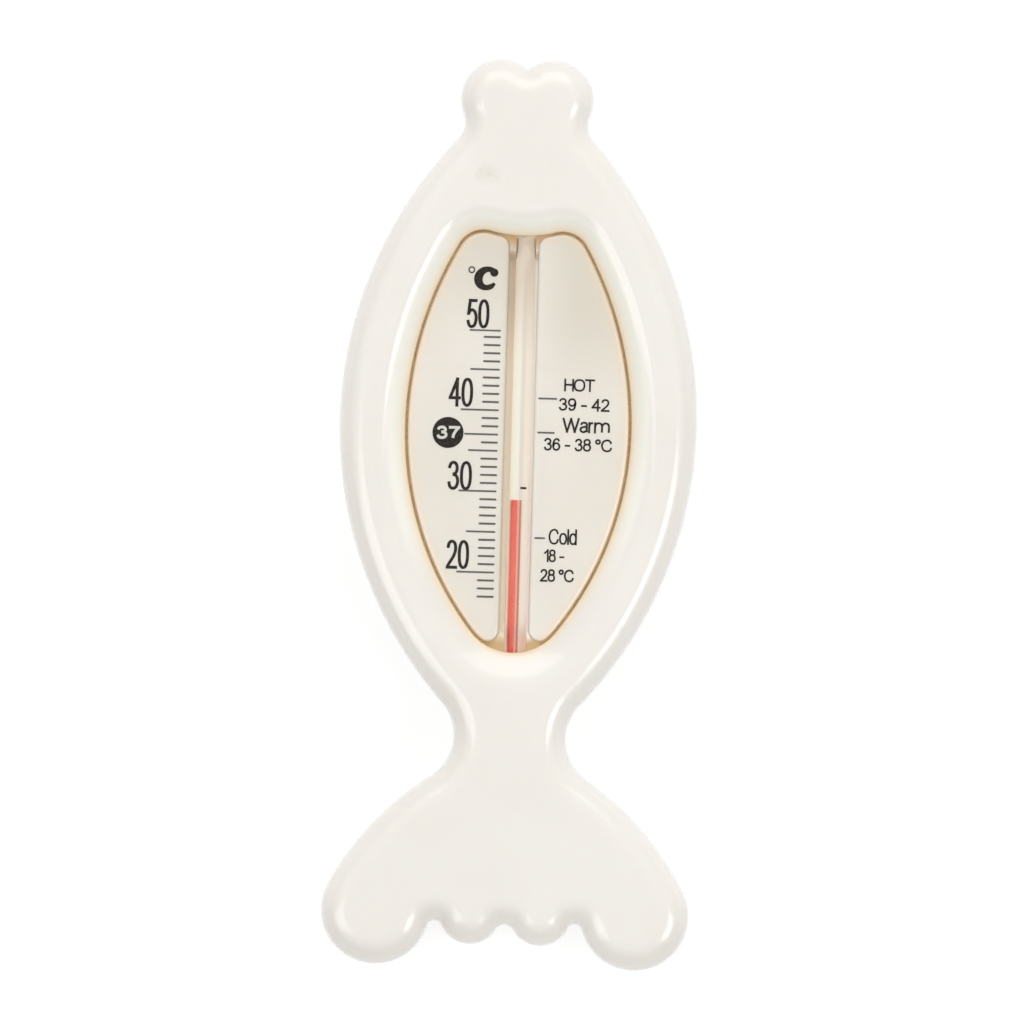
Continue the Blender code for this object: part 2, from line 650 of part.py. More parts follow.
def make_tube_mark():
    """The black mark on the glass, a short band bent over the tube."""
    bm = bmesh.new()
    inner = TUBE_RADIUS + CEMENT_CLEARANCE
    middle_y = degree_y(TUBE_MARK_DEGREE)
    left = math.acos((TUBE_MARK_OFFSET - TUBE_MARK_WIDTH / 2) / inner)
    right = math.acos((TUBE_MARK_OFFSET + TUBE_MARK_WIDTH / 2) / inner)
    steps = 4
    sections = []
    for index in range(steps + 1):
        angle = left + (right - left) * index / steps
        section = []
        for radius, end in ((inner, -1), (inner + PRINT_HEIGHT, -1), (inner + PRINT_HEIGHT, 1), (inner, 1)):
            place = Vector((TUBE_OFFSET + radius * math.cos(angle), 0, TUBE_Z + radius * math.sin(angle)))
            place.y = middle_y + end * TUBE_MARK_THICKNESS / 2
            section.append(bm.verts.new(place))
        sections.append(section)
    skin(bm, sections)
    bm.faces.new(sections[0])
    bm.faces.new(sections[-1])
    object_from(bm, "tube_mark", "print_black")


# Print

def glyph_bmesh(character, width, height, low_z, high_z, middle):
    """A character of Blender's own font, fitted to a box that is centred on a point."""
    curve = bpy.data.curves.new("glyph", "FONT")
    curve.body = character
    curve.extrude = 0.1
    curve.resolution_u = 3
    holder = bpy.data.objects.new("glyph", curve)
    bpy.context.scene.collection.objects.link(holder)
    depsgraph = bpy.context.evaluated_depsgraph_get()
    mesh = bpy.data.meshes.new_from_object(holder.evaluated_get(depsgraph))
    bpy.data.objects.remove(holder)
    bm = bmesh.new()
    bm.from_mesh(mesh)
    bmesh.ops.remove_doubles(bm, verts=bm.verts, dist=0.0001)
    low = Vector([min(vert.co[axis] for vert in bm.verts) for axis in range(3)])
    high = Vector([max(vert.co[axis] for vert in bm.verts) for axis in range(3)])
    size = high - low
    target = Vector((width, height, high_z - low_z))
    scale = Matrix.Diagonal((target.x / size.x, target.y / size.y, target.z / size.z, 1.0))
    shift = Matrix.Translation((middle.x, middle.y, (low_z + high_z) / 2))
    bm.transform(shift @ scale @ Matrix.Translation(-(low + high) / 2))
    return bm


def print_glyph(name, character, width, height, middle):
    """One printed character on the plate."""
    bm = glyph_bmesh(character, width, height, LOBE_TOP_Z, LOBE_TOP_Z + PRINT_HEIGHT, middle)
    object_from(bm, name, "print_black")


def print_line(name, start_x, end_x, y):
    """One printed line across the plate."""
    low = (min(start_x, end_x), y - LINE_THICKNESS / 2, LOBE_TOP_Z)
    high = (max(start_x, end_x), y + LINE_THICKNESS / 2, LOBE_TOP_Z + PRINT_HEIGHT)
    block(name, low, high, "print_black")


def line_length(degree):
    """Length of a degree line: long at the tens, middling at the fives."""
    if degree == LAST_DEGREE:
        return LINE_LENGTH_TOP
    if degree == DISC_DEGREE:
        line_start = -CHANNEL_LEFT + LINE_FROM_CHANNEL
        return DISC_OFFSET - DISC_DIAMETER / 2 - DISC_LINE_GAP - line_start
    if degree % 10 == 0:
        return LINE_LENGTH_TEN
    if degree % 5 == 0:
        return LINE_LENGTH_FIVE
    return LINE_LENGTH


def make_degree_lines():
    """The lines of the scale on the left lobe."""
    start_x = CHANNEL_LEFT - LINE_FROM_CHANNEL
    for degree in range(FIRST_DEGREE, LAST_DEGREE + 1):
        print_line(f"degree_line_{degree}", start_x, start_x - line_length(degree), degree_y(degree))


def make_zone_lines():
    """The three lines of the bath zones on the right lobe."""
    start_x = CHANNEL_RIGHT + ZONE_FROM_CHANNEL
    for zone, degree in ZONE_DEGREES.items():
        print_line(f"{zone}_zone_line", start_x, start_x + ZONE_LENGTHS[zone], degree_y(degree))


def make_numerals():
    """The figures above the tens lines, tens digit and nought."""
    for degree, offset in NUMERALS.items():
        middle_y = degree_y(degree) + NUMERAL_ABOVE_LINE + NUMERAL_HEIGHT / 2
        step = (NUMERAL_WIDTH + NUMERAL_GAP) / 2
        for part, character, x in (("tens", str(degree)[0], -offset - step), ("units", str(degree)[1], -offset + step)):
            print_glyph(f"numeral_{degree}_{part}", character, NUMERAL_WIDTH, NUMERAL_HEIGHT, Vector((x, middle_y)))


def make_unit_sign():
    """The degree ring and the C above the scale."""
    middle = Vector((-UNIT_OFFSET, from_tail(WINDOW_TOP_FROM_TAIL - UNIT_BELOW_WINDOW_TOP)))
    print_glyph("unit_c", "C", UNIT_WIDTH, UNIT_HEIGHT, middle)
    bm = bmesh.new()
    centre = Vector((-RING_OFFSET, from_tail(WINDOW_TOP_FROM_TAIL - RING_BELOW_WINDOW_TOP)))
    outline = []
    for index in range(TURNED_SEGMENTS):
        angle = math.tau * index / TURNED_SEGMENTS
        normal = Vector((math.cos(angle), math.sin(angle)))
        outline.append((centre + normal * RING_OUTER_DIAMETER / 2, normal))
    width = (RING_OUTER_DIAMETER - RING_INNER_DIAMETER) / 2
    top_z = LOBE_TOP_Z + PRINT_HEIGHT
    corners = [(0.0, LOBE_TOP_Z), (0.0, top_z), (width, top_z), (width, LOBE_TOP_Z)]
    rings = [add_ring(bm, outline, inset, z) for inset, z in corners]
    skin(bm, rings + rings[:1])
    object_from(bm, "unit_ring", "print_black")


def make_disc():
    """The black disc at body temperature, with its two figures cut through to the plate."""
    centre = Vector((-DISC_OFFSET, degree_y(DISC_DEGREE)))
    radius = DISC_DIAMETER / 2
    top_z = LOBE_TOP_Z + PRINT_HEIGHT
    place = Matrix.Translation((centre.x, centre.y, 0))
    profile = [(0.0, LOBE_TOP_Z), (radius, LOBE_TOP_Z), (radius, top_z), (0.0, top_z)]
    disc = turned("disc_37", profile, place, 2 * TURNED_SEGMENTS, "print_black")
    for sign, character in ((-1, str(DISC_DEGREE)[0]), (1, str(DISC_DEGREE)[1])):
        middle = centre + Vector((sign * DISC_FIGURE_WIDTH * 0.55, 0))
        low_z = LOBE_TOP_Z - PRINT_HEIGHT
        high_z = top_z + PRINT_HEIGHT
        figure = glyph_bmesh(character, DISC_FIGURE_WIDTH, DISC_FIGURE_HEIGHT, low_z, high_z, middle)
        combine(disc, "DIFFERENCE", object_from(figure, f"disc_figure_{character}"))


def main():
    """Builds the whole thermometer in an empty scene."""
    for old in list(bpy.data.objects):
        bpy.data.objects.remove(old)
    outline = body_outline()
    window = window_outline()
    make_front_shell(outline, window)
    make_back_shell(outline)
    make_scale_plate(window)
    make_window_seal(window)
    make_tube_bed()
    make_tube()
    make_spirit()
    make_tube_mark()
    make_degree_lines()
    make_zone_lines()
    make_numerals()
    make_unit_sign()
    make_disc()


main()
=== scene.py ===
import math

import bmesh
import bpy
import numpy as np
from mathutils import Matrix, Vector
from mathutils.geometry import delaunay_2d_cdt


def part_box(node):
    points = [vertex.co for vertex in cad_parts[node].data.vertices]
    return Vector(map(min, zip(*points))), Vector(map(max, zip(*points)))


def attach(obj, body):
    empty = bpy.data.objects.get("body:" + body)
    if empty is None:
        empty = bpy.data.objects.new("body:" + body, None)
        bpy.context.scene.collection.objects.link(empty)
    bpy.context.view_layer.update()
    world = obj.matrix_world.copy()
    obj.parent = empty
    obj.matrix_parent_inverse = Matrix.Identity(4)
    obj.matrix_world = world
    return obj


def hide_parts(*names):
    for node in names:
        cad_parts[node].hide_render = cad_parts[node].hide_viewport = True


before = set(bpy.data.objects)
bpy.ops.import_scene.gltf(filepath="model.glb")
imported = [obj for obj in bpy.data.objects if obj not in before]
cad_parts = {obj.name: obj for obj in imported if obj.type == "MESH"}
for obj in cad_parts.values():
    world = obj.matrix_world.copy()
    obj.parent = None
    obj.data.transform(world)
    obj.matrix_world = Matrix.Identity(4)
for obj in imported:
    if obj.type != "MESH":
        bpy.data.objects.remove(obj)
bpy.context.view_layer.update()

# Shapes are worked out in millimetres, with Y measured from the tail's tip, and put into meshes in metres.
mm = 0.001
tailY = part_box("front_shell")[0].y / mm


def boxOf(node):
    # Lowest and highest corner of a CAD node, in the same millimetres as the shapes here
    low, high = (np.array(corner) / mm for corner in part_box(node))
    return low - [0, tailY, 0], high - [0, tailY, 0]


shellLow, shellHigh = boxOf("front_shell")
tubeLow, tubeHigh = boxOf("thermometer_tube")
faceZ = shellHigh[2]
partingZ = shellLow[2]
lobeZ = boxOf("scale_plate")[1][2]


# Outlines: circles that touch one another, run through clockwise

def arcChain(circles, startAngle, endAngle, step):
    # Points and outward normals along a chain of touching circles (x, y, radius). A radius is positive where
    # the outline bulges out and negative where it is hollow; point = centre + radius x normal.
    angles = [startAngle]
    for (x, y, r), (nextX, nextY, nextR) in zip(circles, circles[1:]):
        angles.append(math.atan2((nextY - y) / (r - nextR), (nextX - x) / (r - nextR)))
    angles.append(endAngle)
    points, normals = [], []
    for index, (x, y, r) in enumerate(circles):
        first, last = angles[index], angles[index + 1]
        turn = -((first - last) % math.tau) if r > 0 else (last - first) % math.tau
        count = max(6, math.ceil(abs(turn * r) / step))
        isLast = index == len(circles) - 1
        angle = first + turn * np.arange(count + isLast) / count
        normal = np.stack([np.cos(angle), np.sin(angle)], axis=1)
        points.append(np.array([x, y]) + r * normal)
        normals.append(normal)
    return np.concatenate(points), np.concatenate(normals)


def mirrored(half):
    # A closed outline from its right half, whose two ends lie on x = 0
    return tuple(np.concatenate([side, side[-2:0:-1] * [-1, 1]]) for side in half)


def flankRadius(run, rise, endRadius):
    # Radius of an arc that stands upright at the widest point and touches the end circle, whose centre is
    # run across and rise along from there
    return (run ** 2 + rise ** 2 - endRadius ** 2) / (2 * (-endRadius - run))


body = {
    "length": 150.0, "width": 59.1, "bellyFromTail": 89.9,
    "headLobeRadius": 6.6, "headLobeOffset": 4.4, "headNotchRadius": 0.5,
    "neckRadius": 3.9, "neckBelowLobe": 4.0,
    "waistWidth": 18.6, "waistFromTail": 38.0, "waistRadius": 8.1,
    "tailWidth": 60.8, "tailLobeRadius": 9.0, "tailFlankRadius": 48.5,
    "notchRadius": 1.2, "notchFromTail": 6.2, "smallLobeFromTail": 8.8, "centreNotchFromTail": 7.0,
    "step": 0.38,  # distance between points on the outline
}


def tailCircles():
    # The tail's lower edge: side lobe, notch, small lobe, centre notch
    lobeX, lobeY = body["tailWidth"] / 2 - body["tailLobeRadius"], body["tailLobeRadius"]
    notchY = body["notchFromTail"]
    notchX = lobeX - math.sqrt((body["tailLobeRadius"] + body["notchRadius"]) ** 2 - (lobeY - notchY) ** 2)
    smallX, smallY = notchX / 2, body["smallLobeFromTail"]
    smallRadius = math.hypot(smallX - notchX, smallY - notchY) - body["notchRadius"]
    depth = smallY - body["centreNotchFromTail"]
    centreRadius = (smallX ** 2 + depth ** 2 - smallRadius ** 2) / (2 * (smallRadius - depth))
    return [
        (lobeX, lobeY, body["tailLobeRadius"]),
        (notchX, notchY, -body["notchRadius"]),
        (smallX, smallY, smallRadius),
        (0.0, body["centreNotchFromTail"] - centreRadius, -centreRadius),
    ]


def bodyOutline():
    # The fish: head lobes, neck, flanks, waist and scalloped tail
    halfWidth, bellyY = body["width"] / 2, body["bellyFromTail"]
    headX, headR = body["headLobeOffset"], body["headLobeRadius"]
    headY = body["length"] - headR
    headNotchY = headY + math.sqrt((headR + body["headNotchRadius"]) ** 2 - headX ** 2)
    neckY = headY - body["neckBelowLobe"]
    neckX = headX + math.sqrt((headR + body["neckRadius"]) ** 2 - body["neckBelowLobe"] ** 2)
    waistX, waistY = body["waistWidth"] / 2 + body["waistRadius"], body["waistFromTail"]
    upper = flankRadius(neckX - halfWidth, neckY - bellyY, -body["neckRadius"])
    lower = flankRadius(waistX - halfWidth, waistY - bellyY, -body["waistRadius"])
    scallops = tailCircles()
    flankX, flankY = circleMeeting(
        (waistX, waistY), body["tailFlankRadius"] + body["waistRadius"],
        scallops[0][:2], body["tailFlankRadius"] - body["tailLobeRadius"])
    circles = [
        (0.0, headNotchY, -body["headNotchRadius"]),
        (headX, headY, headR),
        (neckX, neckY, -body["neckRadius"]),
        (halfWidth - upper, bellyY, upper),
        (halfWidth - lower, bellyY, lower),
        (waistX, waistY, -body["waistRadius"]),
        (flankX, flankY, body["tailFlankRadius"]),
        *scallops,
    ]
    return mirrored(arcChain(circles, math.pi / 2, -math.pi / 2, body["step"]))


def circleMeeting(centreA, reachA, centreB, reachB):
    # The point at the given distances from two centres, the one further to the left
    a, b = np.array(centreA), np.array(centreB)
    gap = np.linalg.norm(b - a)
    along = (b - a) / gap
    distance = (gap ** 2 + reachA ** 2 - reachB ** 2) / (2 * gap)
    across = math.sqrt(reachA ** 2 - distance ** 2) * np.array([-along[1], along[0]])
    return min((a + along * distance + side for side in (across, -across)), key=lambda point: point[0])


window = {
    "width": 37.4, "centreFromTail": 89.0, "topFromTail": 121.75, "bottomFromTail": 52.0,
    "cornerRadius": 4.7, "cornerOffset": 6.5, "bottomRadius": 9.0, "topDip": 0.85,
    "step": 0.35,
    "bevelWidth": 3.05, "bevelDepth": 2.6,
    "creaseRound": 1.35, "bottomRound": 3.1,   # half width of the crease's rounding, above and at the bottom
    "roundFrom": 97.0, "roundTo": 62.0,        # where along the fish the crease softens
    "lip": 1.2, "lipRound": 0.15, "seat": 2.2,
    # Rings of the mesh: down the slope, and close together from below the crease to beyond it
    "slopeRings": 6, "slopeShort": 1.4, "creaseBelow": 1.2, "creaseBeyond": 1.4, "creaseStep": 0.15,
}


def windowCircles():
    # Right half of the window: dip at the top, corner, two flanks, round bottom
    halfWidth, centreY = window["width"] / 2, window["centreFromTail"]
    cornerX, cornerR = window["cornerOffset"], window["cornerRadius"]
    cornerY = window["topFromTail"] - cornerR
    rise = cornerR - window["topDip"]
    dipRadius = (cornerX ** 2 + rise ** 2 - cornerR ** 2) / (2 * window["topDip"])
    bottomR = window["bottomRadius"]
    bottomY = window["bottomFromTail"] + bottomR
    upper = flankRadius(cornerX - halfWidth, cornerY - centreY, cornerR)
    lower = flankRadius(-halfWidth, bottomY - centreY, bottomR)
    return [
        (0.0, cornerY + rise + dipRadius, -dipRadius),
        (cornerX, cornerY, cornerR),
        (halfWidth - upper, centreY, upper),
        (halfWidth - lower, centreY, lower),
        (0.0, bottomY, bottomR),
    ]


# Surfaces

batchSize = 1500     # places that are compared with an outline at a time, so that they fit the memory


def inBatches(places, work):
    return np.concatenate([work(batch) for batch in np.array_split(places, len(places) // batchSize + 1)])


def distanceTo(loop, places):
    # Distance from each place to the nearest point of a dense loop
    return inBatches(places, lambda batch: np.linalg.norm(batch[:, None] - loop[None], axis=2).min(axis=1))


def nearestOf(loop, places):
    # Index of the loop's nearest point to each place
    return inBatches(places, lambda batch: np.linalg.norm(batch[:, None] - loop[None], axis=2).argmin(axis=1))


def isInside(loop, places):
    # True where a line from the place towards +X crosses the loop an odd number of times
    after = np.roll(loop, -1, axis=0)

    def isOdd(batch):
        x, y = batch[:, :1], batch[:, 1:]
        spans = (loop[:, 1] > y) != (after[:, 1] > y)
        rise = np.where(spans, after[:, 1] - loop[:, 1], 1.0)
        crossing = loop[:, 0] + (y - loop[:, 1]) * (after[:, 0] - loop[:, 0]) / rise
        return (spans & (x < crossing)).sum(axis=1) % 2 == 1

    return inBatches(places, isOdd)


def hexNet(low, high, spacing):
    # Points of a hexagonal net over a box
    columns = np.arange(low[0], high[0], spacing)
    rows = np.arange(low[1], high[1], spacing * math.sqrt(3) / 2)
    x, y = np.meshgrid(columns, rows)
    x = x + (np.arange(len(rows)) % 2)[:, None] * spacing / 2
    return np.stack([x.ravel(), y.ravel()], axis=1)


def filledRegion(loops, spacing, clearance=0.6, fine=None):
    # Triangles over the area inside the first loop and outside the others. The places are the loops' own
    # points, in order, then a net of points inside. fine is (centre, radius, spacing) of a denser patch.
    edge = np.concatenate(loops)
    net = hexNet(edge.min(axis=0), edge.max(axis=0), spacing)
    if fine:
        centre, radius, fineSpacing = fine
        patch = hexNet(np.array(centre) - radius, np.array(centre) + radius, fineSpacing)
        patch = patch[np.linalg.norm(patch - centre, axis=1) < radius]
        net = np.concatenate([net[np.linalg.norm(net - centre, axis=1) > radius + spacing / 2], patch])

    def within(places):
        inside = isInside(loops[0], places)
        for loop in loops[1:]:
            inside &= ~isInside(loop, places)
        return inside

    net = net[within(net)]
    net = net[distanceTo(edge, net) > clearance * min(spacing, window["step"] + spacing / 2)]
    places = np.concatenate([edge, net])
    edges, start = [], 0
    for loop in loops:
        ring = np.arange(start, start + len(loop))
        edges.append(np.stack([ring, np.roll(ring, -1)], axis=1))
        start += len(loop)
    found = delaunay_2d_cdt(places.tolist(), np.concatenate(edges).tolist(), [], 0, 1e-7)
    places = np.array([point[:] for point in found[0]])
    triangles = np.array(found[2])
    triangles = triangles[within(places[triangles].mean(axis=1))]
    return places, triangles


def ringGrid(points, normals, insets, heights):
    # Rings of an outline, each moved inward by its inset to its height. heights is one value a ring, or one
    # for each point of each ring. place = outline point - inset x outward normal.
    insets = np.array(insets)[:, None, None]
    flat = points[None] - insets * normals[None]
    heights = np.array(heights, float)
    if heights.ndim == 1:
        heights = np.repeat(heights[:, None], len(points), axis=1)
    places = np.concatenate([flat, heights[..., None]], axis=2)
    return places.reshape(-1, 3), gridFaces(len(insets), len(points), closed=True)


def gridFaces(rows, columns, closed):
    # Quads between each row of a grid and the next, joined round where the rows are closed
    number = np.arange(rows * columns).reshape(rows, columns)
    after = np.roll(number, -1, axis=1)
    quads = np.stack([number[:-1], after[:-1], after[1:], number[1:]], axis=2)
    return quads[:, :columns if closed else columns - 1].reshape(-1, 4)


def turned(profile, segments):
    # A surface of revolution round Z from (radius, height) pairs; x = radius cos, y = radius sin
    radius, height = np.array(profile).T[:, :, None]
    angle = math.tau * np.arange(segments) / segments
    places = np.stack([radius * np.cos(angle), radius * np.sin(angle), height + 0 * angle], axis=2)
    return places.reshape(-1, 3), gridFaces(len(profile), segments, closed=True)


def lid(level, heights):
    # A triangulated region at its heights, as vertices and faces
    places, triangles = level
    return np.column_stack([places, np.broadcast_to(heights, len(places))]), triangles


def extruded(outlines, lowZ, highZ):
    # Flat fields of ink: each closed outline as a thin solid between two heights
    outlines = np.asarray(outlines, float)
    if outlines.ndim == 2:
        outlines = outlines[None]
    count, size = outlines.shape[:2]
    levels = [np.concatenate([outlines, np.full((count, size, 1), z)], axis=2) for z in (lowZ, highZ)]
    places = np.stack(levels, axis=1).reshape(-1, 3)
    first = np.arange(count)[:, None] * 2 * size
    ring = np.arange(size)
    after = np.roll(ring, -1)
    walls = np.stack([first + ring, first + after, first + after + size, first + ring + size], axis=2)
    faces = walls.reshape(-1, 4).tolist()
    faces += (first + ring[::-1]).tolist() + (first + ring + size).tolist()
    return places, faces


def meshFrom(name, parts, sharpAngle=35, smooth=True):
    # One mesh from several sheets that share their edges, closed by merging doubled points, faces outward
    vertices, faces, start = [], [], 0
    for places, sheet in parts:
        vertices.append(places)
        sheet = sheet.tolist() if isinstance(sheet, np.ndarray) else sheet
        faces += [[corner + start for corner in face] for face in sheet]
        start += len(places)
    vertices = (np.concatenate(vertices) + [0, tailY, 0]) * mm
    mesh = bpy.data.meshes.new(name)
    mesh.from_pydata(vertices.tolist(), [], faces)
    bm = bmesh.new()
    bm.from_mesh(mesh)
    bmesh.ops.remove_doubles(bm, verts=bm.verts, dist=1.5e-6)
    bmesh.ops.dissolve_degenerate(bm, edges=bm.edges, dist=1e-7)
    bmesh.ops.recalc_face_normals(bm, faces=bm.faces)
    bm.to_mesh(mesh)
    bm.free()
    if smooth:
        mesh.shade_smooth()
        mesh.set_sharp_from_angle(angle=math.radians(sharpAngle))
    return mesh


def addObject(name, data):
    made = bpy.data.objects.new(name, data)
    bpy.context.scene.collection.objects.link(made)
    return made


def piece(name, mesh, material, slot, *nodes):
    # An object of the part: it rides on the one body and stands for the CAD nodes named
    made = addObject(name, mesh)
    mesh.materials.append(material)
    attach(made, "root")
    if nodes:
        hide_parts(*nodes)


def placesOf(mesh):
    # The mesh's points in millimetres, Y from the tail's tip
    flat = np.empty(len(mesh.vertices) * 3)
    mesh.vertices.foreach_get("co", flat)
    return flat.reshape(-1, 3) / mm - [0, tailY, 0]


def paintAttribute(mesh, name, values):
    # One number for each point of the mesh, which its material reads
    mesh.attributes.new(name, "FLOAT", "POINT").data.foreach_set("value", np.asarray(values, np.float32))


def smoothStep(value, low, high):
    t = np.clip((value - low) / (high - low), 0, 1)
    return t * t * (3 - 2 * t)


# Materials. A source is a (node, output) pair, a fixed colour or a fixed number.

def newMaterial(name):
    material = bpy.data.materials.new(name)
    material.use_nodes = True
    tree = material.node_tree
    return material, tree, tree.nodes["Principled BSDF"]


def feed(tree, source, node, socket):
    # Links a source to a node's input, or sets the input to the fixed value
    target = node.inputs[socket]
    if not isinstance(source, tuple):
        target.default_value = source
    elif isinstance(source[0], bpy.types.Node):
        tree.links.new(source[0].outputs[source[1]], target)
    else:
        target.default_value = (*source, 1)


def setSockets(node, values):
    for name, value in values.items():
        node.inputs[name].default_value = value


def noiseAt(tree, scale, detail=3.0, stretch=(1, 1, 1)):
    # Noise on object coordinates; a stretch under 1 draws it out along that axis
    place = tree.nodes.new("ShaderNodeTexCoord")
    mapping = tree.nodes.new("ShaderNodeMapping")
    noise = tree.nodes.new("ShaderNodeTexNoise")
    setSockets(mapping, {"Scale": stretch})
    setSockets(noise, {"Scale": scale, "Detail": detail})
    feed(tree, (place, "Object"), mapping, "Vector")
    feed(tree, (mapping, "Vector"), noise, "Vector")
    return noise, "Fac"


def ramp(tree, source, stops):
    # A colour ramp of (position, colour) stops on a value
    node = tree.nodes.new("ShaderNodeValToRGB")
    elements = node.color_ramp.elements
    while len(elements) < len(stops):
        elements.new(0.5)
    for element, (position, colour) in zip(elements, stops):
        element.position = position
        element.color = (*colour, 1)
    feed(tree, source, node, "Fac")
    return node, "Color"


def mixed(tree, share, first, second):
    # Colour between two others, by a share from 0 to 1
    node = tree.nodes.new("ShaderNodeMix")
    node.data_type = "RGBA"
    for index, source in ((0, share), (6, first), (7, second)):
        feed(tree, source, node, index)
    return node, 2


def worked(tree, operation, first, second):
    # A number worked out from two others
    node = tree.nodes.new("ShaderNodeMath")
    node.operation = operation
    feed(tree, first, node, 0)
    feed(tree, second, node, 1)
    return node, 0


def risen(tree, source, low, high, top=1.0):
    # Rises softly from 0 where a number is low to top where it is high
    node = tree.nodes.new("ShaderNodeMapRange")
    node.interpolation_type = "SMOOTHSTEP"
    setSockets(node, {"From Min": low, "From Max": high, "To Max": top})
    feed(tree, source, node, "Value")
    return node, 0


def bandBetween(tree, source, low, high, soft):
    # 1 where a number lies between two others, with soft ends
    return worked(tree, "MULTIPLY", risen(tree, source, low - soft, low + soft),
                  risen(tree, source, high + soft, high - soft))


def tinted(tree, source, values, tints):
    # A colour changed towards each tint where the mesh's attribute of that name is painted
    for name in tints:
        attribute = tree.nodes.new("ShaderNodeAttribute")
        attribute.attribute_name = name
        source = mixed(tree, (attribute, "Fac"), source, values[name])
    return source


def finishShader(tree, shader, source, values, detail=2.0, stretch=(1, 1, 1)):
    # Colour, fixed values and the fine relief of the skin
    feed(tree, source, shader, "Base Color")
    setSockets(shader, values["sockets"])
    bump = tree.nodes.new("ShaderNodeBump")
    setSockets(bump, {"Distance": values["skinDepth"], "Strength": 1.0})
    feed(tree, noiseAt(tree, values["skinScale"], detail, stretch), bump, "Height")
    feed(tree, (bump, "Normal"), shader, "Normal")


plastic = {
    "light": (0.84, 0.81, 0.765), "dark": (0.825, 0.79, 0.74),   # faint clouds in the moulded colour
    # The line's last three colours: a painted glow by the amber line, painted light on the window's funnel,
    # painted shade in the eye's dimple
    "cloudScale": 45.0, "glow": (0.93, 0.76, 0.55), "paintedBevelLight": (0.925, 0.905, 0.83), "eye": (0.77, 0.745, 0.68),
    "sockets": {
        "Roughness": 0.17, "IOR": 1.47, "Subsurface Weight": 0.25, "Subsurface Scale": 0.002,
        "Subsurface Radius": (1.0, 0.75, 0.5),
    },
    "skinScale": 900.0, "skinDepth": 0.000012,                    # slow waves of a moulded skin
}
plateFinish = {
    "light": (0.785, 0.745, 0.675), "dark": (0.75, 0.71, 0.635), "cloudScale": 60.0,
    "glow": (0.82, 0.62, 0.43), "shade": (0.62, 0.575, 0.475),
    "sockets": {
        "Roughness": 0.3, "IOR": 1.46, "Subsurface Weight": 0.2, "Subsurface Scale": 0.0015,
        "Subsurface Radius": (1.0, 0.7, 0.45),
    },
    "skinScale": 700.0, "skinDepth": 0.00001,
}


def plasticMaterial(name, values, tints=()):
    # Moulded plastic, faintly cloudy
    material, tree, shader = newMaterial(name)
    clouds = noiseAt(tree, values["cloudScale"])
    colour = ramp(tree, clouds, [(0.35, values["dark"]), (0.65, values["light"])])
    finishShader(tree, shader, tinted(tree, colour, values, tints), values)
    return material


cementFinish = {
    "stops": [(0.3, (0.35, 0.20, 0.075)), (0.55, (0.41, 0.25, 0.10)), (0.8, (0.48, 0.31, 0.14))],
    "scale": 260.0,
    "pool": (0.57, 0.39, 0.205),                                    # lighter, beside the tube's ends
    "strip": (0.76, 0.65, 0.50), "paleStrip": (0.95, 0.86, 0.78),   # left and right of the tube
    "topStripShade": (0.61, 0.48, 0.355),                                # painted shade left of the tube near its top
    "shore": (0.76, 0.60, 0.40),                                    # the thin shores of the line, lighter: their own tone, and painted light over the gaps' shade
    "sockets": {
        "Roughness": 0.22, "IOR": 1.5, "Subsurface Weight": 0.15, "Subsurface Scale": 0.0008,
        "Subsurface Radius": (1.0, 0.6, 0.3),
    },
    "skinScale": 1600.0, "skinDepth": 0.00003,
}


def cementMaterial():
    # Amber cement: honey to brown where it is thicker, glossy and slightly lumpy
    material, tree, shader = newMaterial("cementAmber")
    colour = ramp(tree, noiseAt(tree, cementFinish["scale"], 4.0), cementFinish["stops"])
    tints = ("pool", "strip", "topStripShade", "paleStrip", "shore")
    finishShader(tree, shader, tinted(tree, colour, cementFinish, tints), cementFinish, 3.0)
    return material


inkFinish = {
    "dark": (0.014, 0.010, 0.008), "thin": (0.055, 0.043, 0.034), "scale": 2600.0,
    "greyLift": 0.10,                                               # greys the thinner lines
    "sockets": {"Roughness": 0.5, "IOR": 1.45, "Specular IOR Level": 0.3},
    "skinScale": 5000.0, "skinDepth": 0.000006,
}


def inkMaterial(name, lift=0.0):
    # Screen-printed ink: dark brown-black, thinner in small spots
    material, tree, shader = newMaterial(name)
    dark, thin = (tuple(channel + lift for channel in inkFinish[shade]) for shade in ("dark", "thin"))
    colour = ramp(tree, noiseAt(tree, inkFinish["scale"], 2.0), [(0.45, dark), (0.8, thin)])
    finishShader(tree, shader, colour, inkFinish)
    return material


glassFinish = {
    "tint": (0.90, 0.88, 0.82),
    "sockets": {"Roughness": 0.04, "IOR": 1.5, "Coat Weight": 1.0, "Coat Roughness": 0.03, "Alpha": 0.06},
    "skinScale": 220.0, "skinDepth": 0.00002, "skinStretch": (4, 0.06, 4),   # faint lines from drawing
}


def glassMaterial():
    # Clear drawn glass with faint lines along its length
    material, tree, shader = newMaterial("clearGlass")
    finishShader(tree, shader, glassFinish["tint"], glassFinish, 3.0, glassFinish["skinStretch"])
    return material


